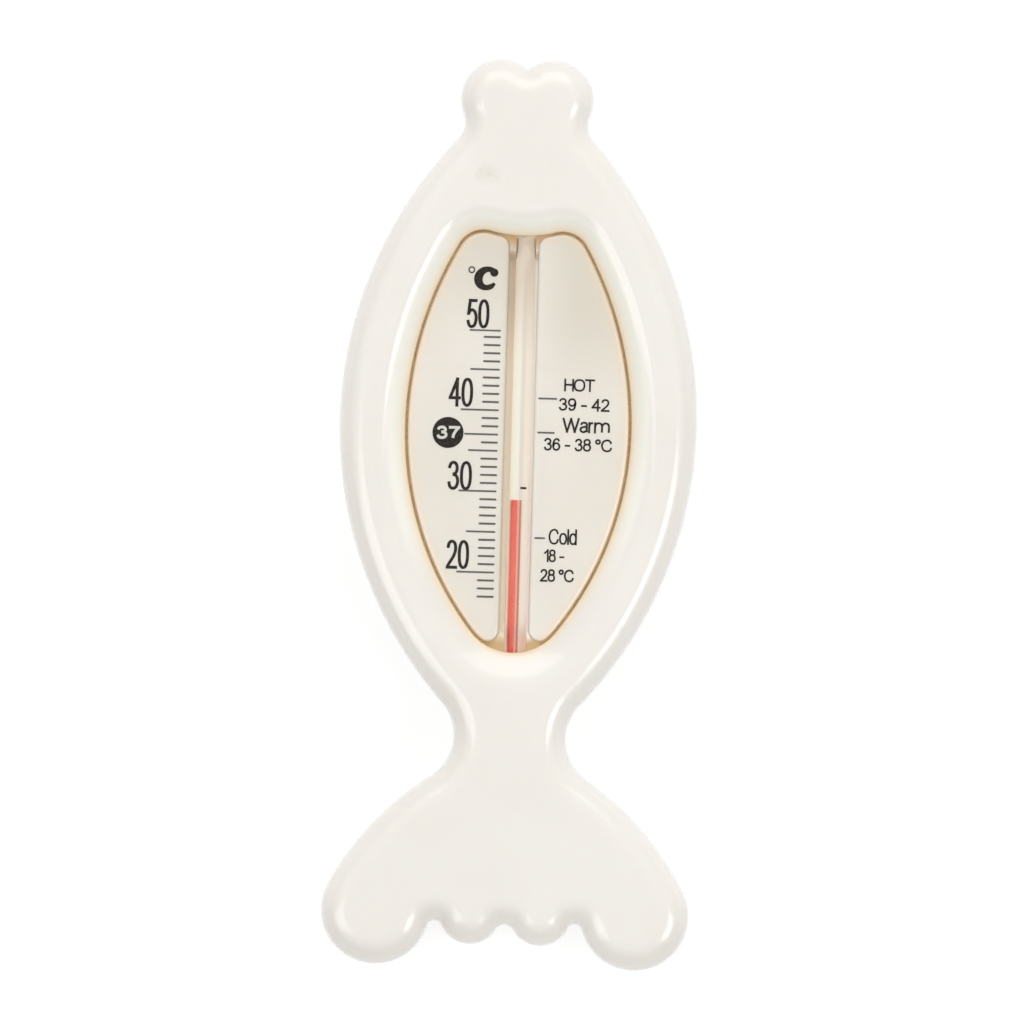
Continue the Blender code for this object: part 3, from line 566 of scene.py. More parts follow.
opalFinish = {
    # Painted light and shade of the tube's wall bending the opal into view, as stripes: mm from the fish's
    # middle line, colour
    "stripes": [
        (-1.35, (0.86, 0.82, 0.71)), (-1.0, (0.91, 0.87, 0.75)), (-0.5, (0.86, 0.83, 0.71)),
        (0.1, (0.85, 0.86, 0.79)), (0.45, (0.77, 0.72, 0.64)), (0.85, (0.82, 0.75, 0.67)),
        (1.15, (0.90, 0.86, 0.74)), (1.75, (0.94, 0.87, 0.78)), (2.05, (0.95, 0.87, 0.80)),
        (2.4, (0.92, 0.83, 0.75)),
    ],
    "drift": 0.6, "driftScale": 45.0,     # how far, in mm, the stripes wander along the fish
    # Browner towards the closed end, and tan at the window's bottom right of the spirit: mm from the tail
    "topTint": (0.70, 0.60, 0.48), "topTintSpan": (98.0, 122.0),
    "endTint": (0.88, 0.62, 0.47), "endTintSpan": (58.5, 52.5),
    "endTintAcross": (0.95, 4.0), "endTintSoft": 0.25,
    # The spirit's red as painted light scattered in the opal, widely and in the gap beside it, and as its
    # painted
    # reflection in the wall: colour, mm from the fish's middle line, softness in mm
    "paintedSpiritLight": [
        ((0.95, 0.66, 0.53), (-1.15, 1.0), 0.35), ((0.97, 0.43, 0.33), (-0.9, 0.62), 0.2),
        ((0.50, 0.20, 0.155), (0.54, 0.88), 0.07),
    ],
    "readingSoft": 0.1,
    "sockets": {"Roughness": 0.3, "IOR": 1.5, "Emission Strength": 1.0},
}
# Painted glow: a share of the colour everywhere, and more near the window's two ends, lifting their shade
paintedGlowShares = {"share": 0.10, "atEnds": 0.2, "reach": 3.0}


def placeAlong(tree, axis):
    # The object coordinate along one axis
    place = tree.nodes.new("ShaderNodeTexCoord")
    axes = tree.nodes.new("ShaderNodeSeparateXYZ")
    feed(tree, (place, "Object"), axes, "Vector")
    return axes, axis


def paintedGlow(tree, shader, colour):
    # Painted glow: emission of the surface's own colour times a share that grows towards the window's ends
    along = placeAlong(tree, "Y")
    bottom = window["bottomFromTail"] + tailY
    top = window["topFromTail"] - window["topDip"] + tailY
    shares = [risen(tree, along, (end + inward * paintedGlowShares["reach"]) * mm, end * mm, paintedGlowShares["atEnds"])
              for end, inward in ((bottom, 1), (top, -1))]
    total = worked(tree, "ADD", worked(tree, "ADD", *shares), paintedGlowShares["share"])
    feed(tree, mixed(tree, total, (0, 0, 0), colour), shader, "Emission Color")


def opalMaterial(readingPlace):
    # The milk-white back of the tube: painted stripes along it, and the spirit's painted light in it up to
    # the reading
    material, tree, shader = newMaterial("opalGlass")
    across, along = placeAlong(tree, "X"), placeAlong(tree, "Y")
    wander = worked(tree, "SUBTRACT", noiseAt(tree, opalFinish["driftScale"], 2.0, (0.3, 1, 0.3)), 0.5)
    drifted = worked(tree, "ADD", across, worked(tree, "MULTIPLY", wander, opalFinish["drift"] * mm))
    low, high = opalFinish["stripes"][0][0], opalFinish["stripes"][-1][0]
    share = worked(tree, "MULTIPLY", worked(tree, "SUBTRACT", drifted, low * mm), 1 / ((high - low) * mm))
    colour = ramp(tree, share, [((x - low) / (high - low), stripe) for x, stripe in opalFinish["stripes"]])
    atTop, atEnd = (risen(tree, along, *[(y + tailY) * mm for y in opalFinish[span]])
                    for span in ("topTintSpan", "endTintSpan"))
    colour = mixed(tree, atTop, colour, opalFinish["topTint"])
    low, high = opalFinish["endTintAcross"]
    rightOf = bandBetween(tree, across, low * mm, high * mm, opalFinish["endTintSoft"] * mm)
    colour = mixed(tree, worked(tree, "MULTIPLY", rightOf, atEnd), colour, opalFinish["endTint"])
    below = bandBetween(tree, along, -1.0, readingPlace, opalFinish["readingSoft"] * mm)
    for spiritLightColour, (low, high), soft in opalFinish["paintedSpiritLight"]:
        band = bandBetween(tree, across, low * mm, high * mm, soft * mm)
        colour = mixed(tree, worked(tree, "MULTIPLY", band, below), colour, spiritLightColour)
    feed(tree, colour, shader, "Base Color")
    # A painted glow of the opal's own colour
    paintedGlow(tree, shader, colour)
    setSockets(shader, opalFinish["sockets"])
    return material


spiritFinish = {
    "deep": (0.66, 0.095, 0.06), "light": (0.75, 0.15, 0.10), "scale": 400.0, "stretch": (1, 0.15, 1),
    "sockets": {
        "Roughness": 0.3, "IOR": 1.36, "Subsurface Weight": 0.3, "Subsurface Scale": 0.0006,
        "Subsurface Radius": (1.0, 0.25, 0.15), "Emission Strength": 1.0,
    },
}


def spiritMaterial():
    # Dyed spirit, a little lighter in streaks along the column
    material, tree, shader = newMaterial("spiritRed")
    noise = noiseAt(tree, spiritFinish["scale"], 2.0, spiritFinish["stretch"])
    colour = ramp(tree, noise, [(0.35, spiritFinish["deep"]), (0.65, spiritFinish["light"])])
    feed(tree, colour, shader, "Base Color")
    # A painted glow of the spirit's own colour
    paintedGlow(tree, shader, colour)
    setSockets(shader, spiritFinish["sockets"])
    return material


bodyWhite = plasticMaterial("bodyWhite", plastic, ("paintedBevelLight", "eye", "glow"))
bodyPlain = plasticMaterial("bodyPlain", plastic)
plateCream = plasticMaterial("plateCream", plateFinish, ("shade", "glow"))
plateInk = plasticMaterial("plateInk", plateFinish)
cementAmber = cementMaterial()
inkBlack = inkMaterial("inkBlack")
inkGrey = inkMaterial("inkGrey", inkFinish["greyLift"])
clearGlass = glassMaterial()
opalGlass = opalMaterial(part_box("spirit_column")[1].y)
spiritRed = spiritMaterial()
print("materials made")


# Shells

section = {
    "wall": 1.8, "edgeReach": 4.9, "edgeRise": 5.2, "draft": 0.1,
    "edgePower": 2.6,                            # 2 is an ellipse; more runs out softer on the face
    "seamWidth": 0.28, "seamDepth": 0.22,        # the V where the halves meet, and its rounded side in shares
    "seamShape": [(1.0, 0.0), (0.45, 0.35), (0.12, 0.7), (0.0, 1.3)],   # of the depth and of half the width
    "crown": 0.10, "crownReach": 2.4,            # how little the face sinks towards its edge
    "edgeSteps": 22, "faceSpacing": 0.75,
}
eye = {"x": -6.3, "fromTail": 130.4, "radius": 2.35, "depth": 0.2, "rim": 0.02, "grain": 0.03, "spacing": 0.2}
slots = {"count": 3, "width": 2.0, "length": 14.0, "spacing": 4.8, "centreFromTail": 49.0, "round": 0.4}

outline, outlineNormals = bodyOutline()
windowEdge, windowNormals = mirrored(arcChain(windowCircles(), math.pi / 2, -math.pi / 2, window["step"]))
windowZ = faceZ - window["bevelDepth"]
seatZ = windowZ - window["lip"]


def creaseRound(fromTail):
    # Half width of the crease's rounding: tight in the upper part, wide and soft at the window's bottom
    soft = 1 - smoothStep(fromTail, window["roundTo"], window["roundFrom"])
    return window["creaseRound"] + soft * (window["bottomRound"] - window["creaseRound"])


def bevelDrop(outset, rounding):
    # How far the face sinks at a distance outside the window: a straight slope, then a parabola that
    # runs out level at the rounding's far side
    width = window["bevelWidth"]
    slope = window["bevelDepth"] / width
    curved = slope * np.clip(width + rounding - outset, 0, None) ** 2 / (4 * rounding)
    return np.where(outset < width - rounding, slope * (width - outset), curved)


def crownDrop(inset):
    # The face sinks a hair towards its edge, by crown x e^(-inset / reach)
    return section["crown"] * np.exp(-inset / section["crownReach"])


def eyeDrop(places):
    # A shallow dish with a mottled floor: depth x (1 - r^2)^1.2, less a raised rim, plus a few crossed waves
    offset = places - [eye["x"], eye["fromTail"]]
    r = np.linalg.norm(offset, axis=1) / eye["radius"]
    x, y = offset.T
    waves = np.sin(5.1 * x + 1.3 * y) * np.sin(4.3 * y - 2.1 * x + 1)
    waves = waves + 0.6 * np.sin(9.7 * x + 2) * np.sin(8.3 * y)
    dish = np.clip(1 - r ** 2, 0, None)
    rim = eye["rim"] * np.exp(-((r - 1.12) / 0.14) ** 2)
    return eye["depth"] * dish ** 1.2 - rim + eye["grain"] * waves * dish


def edgeRings(direction, surfaceZ, insetStart, reach, rise, steps):
    # (inset, height) pairs from the side wall to the face: height^2 + (1 - inset)^power = 1, in shares of
    # the rise and the reach
    angle = np.linspace(0, math.pi / 2, steps + 1)
    inset = 1 - np.cos(angle)
    shoulder = surfaceZ - direction * rise
    height = np.sqrt(1 - (1 - inset) ** section["edgePower"])
    return insetStart + (reach - insetStart) * inset, shoulder + direction * rise * height


def outerSide(direction, surfaceZ):
    # The shell's outside from the bottom of the seam, up the drafted wall and over the rounded edge
    depth, half = section["seamDepth"], section["seamWidth"] / 2
    insetShares, heightShares = np.array(section["seamShape"]).T
    insets, heights = edgeRings(direction, surfaceZ, section["draft"], section["edgeReach"],
                                section["edgeRise"], section["edgeSteps"])
    fade = smoothStep(insets, section["draft"], section["edgeReach"])
    heights = heights - direction * crownDrop(insets) * fade
    seamHeights = partingZ + direction * half * heightShares
    return np.concatenate([depth * insetShares, insets]), np.concatenate([seamHeights, heights])


def innerSide(direction, surfaceZ):
    # The shell's inside, a wall thickness in, from the parting plane to the roof
    wall = section["wall"]
    insets, heights = edgeRings(direction, surfaceZ - direction * wall, wall + section["draft"],
                                section["edgeReach"], section["edgeRise"] - wall, 5)
    return np.concatenate([[wall], insets]), np.concatenate([[partingZ], heights])


def frontShell():
    # The front half: rounded edge, face, funnel into the window, lip, and the inside
    insets, heights = outerSide(1, faceZ)
    crease = window["bevelWidth"]
    outsets = np.concatenate([
        np.linspace(0, crease - window["slopeShort"], window["slopeRings"]),
        np.arange(crease - window["creaseBelow"], crease + window["creaseBeyond"], window["creaseStep"])])
    funnelPlaces = windowEdge[None] + outsets[:, None, None] * windowNormals[None]
    funnelInset = distanceTo(outline, funnelPlaces.reshape(-1, 2)).reshape(len(outsets), -1)
    rounding = creaseRound(windowEdge[:, 1])
    funnelZ = faceZ - bevelDrop(outsets[:, None], rounding[None]) - crownDrop(funnelInset)
    sides = [ringGrid(outline, outlineNormals, insets, edgeHeights(insets, heights))]

    loops = [outline - section["edgeReach"] * outlineNormals, funnelPlaces[-1]]
    places, triangles = filledRegion(loops, section["faceSpacing"],
                                     fine=((eye["x"], eye["fromTail"]), eye["radius"] * 1.45, eye["spacing"]))
    faceHeights = frontHeight(places) - eyeDrop(places)
    faceHeights[:len(outline)] = edgeHeights(insets, heights)[-1]
    faceHeights[len(outline):len(outline) + len(windowEdge)] = funnelZ[-1]
    sides.append((np.column_stack([places, faceHeights]), triangles))

    roofZ = faceZ - section["wall"]
    slope = window["bevelDepth"] / crease
    lipRound = window["lipRound"]
    roofOutset = window["seat"] + (roofZ - seatZ) / slope
    lipOutsets = [0.0, 0.0, 0.0, window["seat"], roofOutset]
    lipHeights = [windowZ - lipRound, (windowZ + seatZ) / 2, seatZ, seatZ, roofZ]
    lipLevels = np.repeat(np.array(lipHeights)[:, None], len(windowEdge), axis=1)
    lipRing = np.concatenate([funnelZ[::-1], lipLevels])
    lipInsets = -np.concatenate([outsets[::-1], lipOutsets])
    lipInsets[len(outsets) - 1] = -lipRound * 0.7
    sides.append(ringGrid(windowEdge, windowNormals, lipInsets, lipRing))

    innerInsets, innerHeights = innerSide(1, faceZ)
    sides.append(ringGrid(outline, outlineNormals, innerInsets, innerHeights))
    roofLoops = [outline - innerInsets[-1] * outlineNormals, windowEdge + roofOutset * windowNormals]
    sides.append(lid(filledRegion(roofLoops, 6.0, clearance=0.3), roofZ))
    sides.append(ringGrid(outline, outlineNormals, [insets[0], innerInsets[0]], [partingZ, partingZ]))
    return meshFrom("frontShell", sides)


def funnelDrop(places):
    # How far the window's soft bevel lowers the face at each place
    nearest = nearestOf(windowEdge, places)
    outset = np.linalg.norm(places - windowEdge[nearest], axis=1)
    return bevelDrop(outset, creaseRound(windowEdge[nearest, 1]))


def edgeHeights(insets, heights):
    # Heights of the edge rings at every outline point, lowered where the window's soft bevel reaches them
    rings = outline[None] - insets[:, None, None] * outlineNormals[None]
    drop = funnelDrop(rings.reshape(-1, 2)).reshape(len(insets), -1)
    return heights[:, None] - drop * smoothStep(insets, 0.0, section["edgeReach"])[:, None]


def frontHeight(places):
    # Height of the front face anywhere inside the rounded edge
    return faceZ - funnelDrop(places) - crownDrop(distanceTo(outline, places))


def slotOutline(x):
    # Points and outward normals of a round-ended slot
    radius, rise = slots["width"] / 2, (slots["length"] - slots["width"]) / 2
    angle = np.linspace(0, math.pi, 13)
    cap = np.stack([np.cos(angle), np.sin(angle)], axis=1)
    normals = np.concatenate([cap, -cap])
    y = slots["centreFromTail"]
    centres = np.repeat([[x, y + rise], [x, y - rise]], 13, axis=0)
    return centres + radius * normals, normals


def backShell():
    # The back half: flat back, rounded edge, water slots with softened rims, and the inside
    insets, heights = outerSide(-1, 0.0)
    heights = np.maximum(heights, 0.0)
    sides = [ringGrid(outline, outlineNormals, insets, heights)]
    innerInsets, innerHeights = innerSide(-1, 0.0)
    floorZ = section["wall"]
    sides.append(ringGrid(outline, outlineNormals, innerInsets, innerHeights))
    sides.append(ringGrid(outline, outlineNormals, [insets[0], innerInsets[0]], [partingZ, partingZ]))
    backLoops = [outline - insets[-1] * outlineNormals]
    floorLoops = [outline - innerInsets[-1] * outlineNormals]
    angle = np.linspace(0, math.pi / 2, 6)
    rim = slots["round"]
    for index in range(slots["count"]):
        edge, normals = slotOutline((index - (slots["count"] - 1) / 2) * slots["spacing"])
        rimInsets = np.concatenate([-rim * (1 - np.sin(angle)), [0.0]])
        rimHeights = np.concatenate([rim * (1 - np.cos(angle)), [floorZ]])
        sides.append(ringGrid(edge, normals, rimInsets, rimHeights))
        backLoops.append(edge + rim * normals)
        floorLoops.append(edge)
    sides.append(lid(filledRegion(backLoops, 3.0, clearance=0.3), heights[-1]))
    sides.append(lid(filledRegion(floorLoops, 6.0, clearance=0.3), floorZ))
    return meshFrom("backShell", sides)


paint = {
    "glowReach": 0.75, "glowPower": 1.5, "seatBelow": 0.5,
    "bevelEdge": (0.9, 0.5), "bevelRise": (58, 80),   # where the funnel's painted light fades: over the crease and to the window's bottom
    "eyeTall": 1.15, "eyeEdge": (0.6, 1.05), "eyeUpper": (-1.7, 0.6),
}


def paintFront(mesh):
    # glow: a painted glow, 1 at the amber line, falling off outward. Painted light on the thin funnel,
    # lighter above the window's bottom. eye: painted shade in patches on the dimple's upper half
    places = placesOf(mesh)
    distance = distanceTo(windowEdge, places[:, :2])
    isOutside = places[:, 2] > seatZ - paint["seatBelow"]
    # A painted glow by the amber line, which also lifts the shade at the funnel's foot
    paintAttribute(mesh, "glow", np.exp(-(distance / paint["glowReach"]) ** paint["glowPower"]) * isOutside)
    inner, outer = paint["bevelEdge"]
    onBevel = 1 - smoothStep(distance, window["bevelWidth"] - inner, window["bevelWidth"] + outer)
    paintAttribute(mesh, "paintedBevelLight", onBevel * isOutside * smoothStep(places[:, 1], *paint["bevelRise"]))
    x, y = (places[:, :2] - [eye["x"], eye["fromTail"]]).T
    r = np.hypot(x, y * paint["eyeTall"]) / eye["radius"]
    patches = np.clip(0.75 + 0.35 * np.sin(4.1 * x + 1) * np.sin(3.7 * y + 2 * x), 0, 1)
    # Painted shade in patches on the dimple's upper half
    paintedDishShade = (1 - smoothStep(r, *paint["eyeEdge"])) * smoothStep(y, *paint["eyeUpper"])
    paintAttribute(mesh, "eye", paintedDishShade * patches * isOutside)


frontMesh = frontShell()
paintFront(frontMesh)
piece("frontShell", frontMesh, bodyWhite, "body_white", "front_shell")
piece("backShell", backShell(), bodyPlain, "body_white", "back_shell")
print("shells made")


# Scale plate and cement

plate = {
    "thickness": 1.2, "flange": 1.6, "sealWidth": 0.44, "endRadius": 1.8,
    "pillowReach": 0.9, "pillowDrop": 0.45, "pillowSteps": 7,
    "troughWall": 1.2, "troughOverlap": 0.01, "topSpacing": 0.9,
    "glow": (0.62, 0.75, 1.3),                 # painted glow: strength at the amber line, reach, power
    # Painted shade in patches: side, strength, from where to where across and along the fish
    "patches": [(1, 0.62, (1, 10), (88, 112)), (-1, 0.5, (1, 4), (100, 118))],
    "channelShade": (0.75, 0.1), "channelShadeReach": 0.65,   # left and right of the channel
}
tube = {
    "radius": 1.85, "x": 0.5, "bulbRadius": 2.4, "bulbLength": 9.0, "bulbShoulder": 2.5,
    "boreWidth": 0.96, "boreDepth": 0.34, "boreLeft": 0.80, "glassWall": 0.7, "segments": 96,
    "opalBelow": 0.22, "opalHollow": 0.1,     # where the opal's top starts under the axis, and how it dips
    "opalRise": 1.5, "riseLength": 9.0,       # and how far it comes up towards the tube's closed top
    "opalGap": 0.05, "opalEnds": (1.5, 1.2),  # inside the glass, and how far it stops from bulb and top
    "threadCap": 0.12, "fillingNeck": (2.4, 0.9),   # the spirit's rounded top, and its taper out of the bulb
    "cementLeft": 0.95, "cementRight": 0.25, "cementUnder": 0.3,
}
tubeZ = tubeHigh[2] - tube["bulbRadius"]
channelLeft = tube["x"] - tube["radius"] - tube["cementLeft"]
channelRight = tube["x"] + tube["radius"] + tube["cementRight"]
channelFloor = tubeZ - tube["radius"] - tube["cementUnder"]
channelTop = window["topFromTail"] - window["topDip"]


def lobeOutline(side, channelSide):
    # One lobe of the plate: the window less the amber line, cut straight along the channel
    circles = [(x, y, r - plate["sealWidth"]) for x, y, r in windowCircles()]
    endR = plate["endRadius"]
    endX = channelSide + endR
    (_, dipY, dipR), (_, bottomY, bottomR) = circles[0], circles[-1]
    topEnd = (endX, dipY - math.sqrt((endR - dipR) ** 2 - endX ** 2), endR)
    bottomEnd = (endX, bottomY - math.sqrt((bottomR - endR) ** 2 - endX ** 2), endR)
    points, normals = arcChain([topEnd, *circles, bottomEnd], math.pi, math.pi, window["step"])
    wallLength = points[0, 1] - points[-1, 1]
    wallY = np.linspace(points[-1, 1], points[0, 1], int(wallLength / window["step"]))[1:-1]
    wall = np.column_stack([np.full(len(wallY), points[0, 0]), wallY])
    points = np.concatenate([points, wall])
    normals = np.concatenate([normals, np.tile([-1.0, 0.0], (len(wall), 1))])
    return points * [side, 1], normals * [side, 1]


lobes = {1: lobeOutline(1, channelRight), -1: lobeOutline(-1, -channelLeft)}


def platePart(side, channelSide):
    # Half of the plate: flange, step up to the lobe, and the lobe's pillowed top
    points, normals = lobes[side]
    flangePlaces = points + normals * (plate["sealWidth"] + plate["flange"])
    flangePlaces[:, 0] = side * np.maximum(side * flangePlaces[:, 0], side * channelSide)
    angle = np.linspace(0, math.pi / 2, plate["pillowSteps"] + 1)
    insets = np.concatenate([[0.0], plate["pillowReach"] * (1 - np.cos(angle))])
    heights = np.concatenate([[seatZ], lobeZ - plate["pillowDrop"] * (1 - np.sin(angle))])
    upper, upperFaces = ringGrid(points, normals, insets, heights)
    lower = np.concatenate([
        np.column_stack([flangePlaces, np.full(len(points), seatZ - plate["thickness"])]),
        np.column_stack([flangePlaces, np.full(len(points), seatZ)]),
        upper[:len(points)]])
    top = points - insets[-1] * normals
    return [
        (upper, upperFaces),
        (lower, gridFaces(3, len(points), closed=True)),
        lid(filledRegion([top], plate["topSpacing"]), lobeZ),
        lid(filledRegion([flangePlaces], 5.0, clearance=0.3), seatZ - plate["thickness"]),
    ]


def trough():
    # The gutter under the tube, a U-shaped section run along the fish
    wall = plate["troughWall"]
    rimZ = seatZ - plate["thickness"] + plate["troughOverlap"]
    left, right, floor = channelLeft, channelRight, channelFloor
    profile = np.array([
        (left, rimZ), (left, floor), (right, floor), (right, rimZ),
        (right + wall, rimZ), (right + wall, floor - wall), (left - wall, floor - wall), (left - wall, rimZ)])
    ends = [window["bottomFromTail"], channelTop]
    rows = [np.column_stack([profile[:, 0], np.full(len(profile), y), profile[:, 1]]) for y in ends]
    faces = gridFaces(2, len(profile), closed=True).tolist()
    walls = [[0, 1, 6, 7], [1, 2, 5, 6], [2, 3, 4, 5]]
    faces += walls + [[corner + len(profile) for corner in wallFace] for wallFace in walls]
    return np.concatenate(rows), faces


def paintPlate(mesh):
    # glow: a painted glow beside the amber line. shade: painted shade at both lobes' upper ends and along the
    # channel's left side
    places = placesOf(mesh)[:, :2]
    x, y = places.T
    fromSeal = np.clip(distanceTo(windowEdge, places) - plate["sealWidth"], 0, None)
    strength, reach, power = plate["glow"]
    paintAttribute(mesh, "glow", strength * np.exp(-(fromSeal / reach) ** power))
    fromChannel = np.clip(np.maximum(x - channelRight, channelLeft - x), 0, None)
    shade = np.exp(-(fromChannel / plate["channelShadeReach"]) ** 2)
    shade = np.where(x < tube["x"], *plate["channelShade"]) * shade
    for side, strength, across, along in plate["patches"]:
        shade += strength * smoothStep(side * x, *across) * smoothStep(y, *along)
    paintAttribute(mesh, "shade", np.clip(shade, 0, 1))


plateMesh = meshFrom("scalePlate", platePart(1, channelRight) + platePart(-1, channelLeft) + [trough()])
paintPlate(plateMesh)
piece("scalePlate", plateMesh, plateCream, "plate_cream", "scale_plate")

seal = {
    "belowLobe": 0.25, "thickness": 0.8, "spacing": 0.16, "clearance": 0.02,
    "meniscus": (0.16, 0.15),                        # how deep its top hangs, and within what of a shore
    "bedZ": 11.9, "ramp": (2.4, 4.6),                # where, in from the window, it sinks beside the tube
    "fillet": (0.45, 0.22),                          # how high and wide it climbs the channel's sides there
    "stripTop": (0.7, 3.2), "stripBottom": (0.9, 3.2),   # where it turns from honey to tan, at either end
    "slotHalf": 1.62, "slotTopShort": 0.4, "slotOverBottom": 0.06,
    "slotFlare": 0.2, "rightFlare": (2.2, 4.5), "leftFlare": (13.0, 26.0),   # from where to where it widens
    "overTube": 0.9, "overTubeLength": 2, "overTubeShare": 0.75,   # tan in front of the tube's top
    "pool": (3.0, 5.5), "topStripShade": (98, 112), "paleStrip": (0.8, 1.3), "paleStripShort": 4,
    "shore": 0.1, "shoreShare": 0.85,
}


def tubeSlot():
    # The gap in the cement that the glass shows through: from the window's bottom edge to under the top line
    half, flare = seal["slotHalf"], seal["slotFlare"]
    x = np.linspace(tube["x"] - half - flare, tube["x"] + half + flare, 25)
    topX = np.linspace(tube["x"] + half, tube["x"] - half, 25)
    bottomR = window["bottomRadius"]
    bottomY = window["bottomFromTail"] + bottomR - np.sqrt(bottomR ** 2 - x ** 2) + seal["slotOverBottom"]
    topY = channelTop - seal["slotTopShort"]
    sideY = np.linspace(bottomY[-1], topY, 240)[1:-1]
    # The gap widens downwards, on the left over a longer way than on the right
    fromEnd = sideY - bottomY[-1]
    rightHalf = half + flare * (1 - smoothStep(fromEnd, *seal["rightFlare"]))
    leftHalf = half + flare * (1 - smoothStep(fromEnd, *seal["leftFlare"]))
    return np.concatenate([
        np.column_stack([x, bottomY]), np.column_stack([tube["x"] + rightHalf, sideY]),
        np.column_stack([topX, np.full(len(topX), topY)]),
        np.column_stack([tube["x"] - leftHalf[::-1], sideY[::-1]])])


def windowSeal():
    # The amber line round both lobes, its fillets in the channel's corners, and the strips beside the tube.
    # Its top hangs between its two shores and sinks from the line's level to the bed's along the channel.
    gap = seal["clearance"]
    slot = tubeSlot()
    lobeLoops = [points + gap * normals for points, normals in lobes.values()]
    loops = [windowEdge - gap * windowNormals, *lobeLoops, slot]
    places, triangles = filledRegion(loops, seal["spacing"], clearance=0.45)
    fromWindow, fromLobe = shoreDistances(loops, places)
    sunk = smoothStep(fromWindow, *seal["ramp"])
    top = (lobeZ - seal["belowLobe"]) * (1 - sunk) + seal["bedZ"] * sunk
    (hang, hangReach), (climb, climbReach) = seal["meniscus"], seal["fillet"]
    top = top - hang * (1 - np.exp(-np.minimum(fromWindow, fromLobe) / hangReach))
    top = top + climb * sunk * np.exp(-fromLobe / climbReach)
    bottom = top - seal["thickness"]
    sheets = [lid((places, triangles), top), lid((places, triangles[:, ::-1]), bottom)]
    start = 0
    for loop in loops:
        end = start + len(loop)
        wall = [np.column_stack([places[start:end], height[start:end]]) for height in (bottom, top)]
        sheets.append((np.concatenate(wall), gridFaces(2, len(loop), closed=True)))
        start = end
    mesh = meshFrom("windowSeal", sheets, 50)
    paintSeal(mesh, loops)
    return mesh


def shoreDistances(loops, places):
    # Distances from the window's edge and from the nearer lobe
    fromLobes = [distanceTo(loop, places) for loop in loops[1:3]]
    return distanceTo(windowEdge, places), np.minimum(*fromLobes)


def paintSeal(mesh, loops):
    # strip: tan beside and over the tube, with painted shade left of its top and a paler tone right of it.
    # pool: lighter cement beside the tube's ends. shore: the line's thin edges, lighter, with painted light
    # over the gaps' shade.
    places = placesOf(mesh)[:, :2]
    y = places[:, 1]
    aside = places[:, 0] - tube["x"]
    fromWindow, fromLobe = shoreDistances(loops, places)
    lower, upper = (smoothStep(fromWindow, *seal[span]) for span in ("stripBottom", "stripTop"))
    strip = np.where(y < window["centreFromTail"], lower, upper)
    overTube = smoothStep(tube["radius"] - np.abs(aside), 0.0, seal["overTube"])
    overTube = overTube * (y > channelTop - seal["overTubeLength"])
    strip = np.maximum(strip, seal["overTubeShare"] * overTube)
    paleStrip = strip * smoothStep(aside, *seal["paleStrip"]) * (y < channelTop - seal["paleStripShort"])
    fromShore = smoothStep(np.minimum(fromWindow, fromLobe), 0.0, seal["shore"])
    paintAttribute(mesh, "strip", strip)
    paintAttribute(mesh, "pool", 1 - smoothStep(np.abs(aside), *seal["pool"]))
    paintAttribute(mesh, "topStripShade", strip * (aside < 0) * smoothStep(y, *seal["topStripShade"]))
    paintAttribute(mesh, "paleStrip", paleStrip)
    paintAttribute(mesh, "shore", seal["shoreShare"] * (1 - fromShore) * (1 - strip))


piece("windowSeal", windowSeal(), cementAmber, "cement_amber", "window_seal")
print("plate and cement made")


# Glass tube and spirit

def alongFish(places, x):
    # Turns a shape made round Z so that it lies along the fish, with its heights as distances from the tail
    return np.column_stack([places[:, 0] + x, places[:, 2], tubeZ + places[:, 1]])


def roundedEnd(radius, tip, direction, steps=8):
    # Quarter circle from the axis at the tip out to the full radius
    angle = np.linspace(0, math.pi / 2, steps + 1)
    return [(radius * math.sin(a) + 1e-6, tip + direction * radius * (1 - math.cos(a))) for a in angle]


reading = boxOf("spirit_column")[1][1]


def glassTube():
    # Stem and bulb in one, as the outside that shows; the opal strip and the spirit lie in it
    radius, bulbR = tube["radius"], tube["bulbRadius"]
    tip, top = tubeLow[1], tubeHigh[1]
    bulbEnd = tip + tube["bulbLength"]
    shoulder = tube["bulbShoulder"] / 2
    t = np.linspace(0, 1, 9)
    neck = bulbR + (radius - bulbR) * smoothStep(t, 0, 1)
    outside = roundedEnd(bulbR, tip, 1) + list(zip(neck, bulbEnd - shoulder + 2 * shoulder * t))
    stemY = np.linspace(bulbEnd + shoulder, top - radius, 60)[1:-1]
    outside += [(radius, y) for y in stemY] + roundedEnd(radius, top, -1)[::-1]
    places, faces = turned(outside, tube["segments"])
    return meshFrom("thermometerTube", [(alongFish(places, tube["x"]), faces)])


def opalStrip():
    # The opal in the back of the glass: its top a shallow arc under the bore, its back just inside the tube's
    reach = tube["radius"] - tube["opalGap"]
    low, high = tube["opalEnds"]
    y = np.linspace(tubeLow[1] + tube["bulbLength"] + low, tubeHigh[1] - high, 60)
    rise = smoothStep(y, channelTop - tube["riseLength"], channelTop - 1)
    level = tube["opalRise"] * rise - tube["opalBelow"]
    sideAngle = np.arcsin(level / reach)[:, None]
    share = np.linspace(0, 1, 25)
    back = math.pi - sideAngle + share * (math.pi + 2 * sideAngle)
    halfTop = np.cos(sideAngle) * reach
    topX = halfTop * (1 - 2 * share[1:-1])
    topZ = level[:, None] - tube["opalHollow"] * (1 - (topX / halfTop) ** 2)
    x = np.concatenate([reach * np.cos(back), topX], axis=1) + tube["x"]
    z = np.concatenate([reach * np.sin(back), topZ], axis=1) + tubeZ
    places = np.stack([x, np.repeat(y[:, None], x.shape[1], axis=1), z], axis=2).reshape(-1, 3)
    faces = gridFaces(*x.shape, closed=True).tolist()
    ring = list(range(x.shape[1]))
    faces += [ring[::-1], [corner + len(places) - len(ring) for corner in ring]]
    return meshFrom("opalStrip", [(places, faces)])


piece("thermometerTube", glassTube(), clearGlass, "glass", "thermometer_tube")
piece("opalStrip", opalStrip(), opalGlass, "glass")


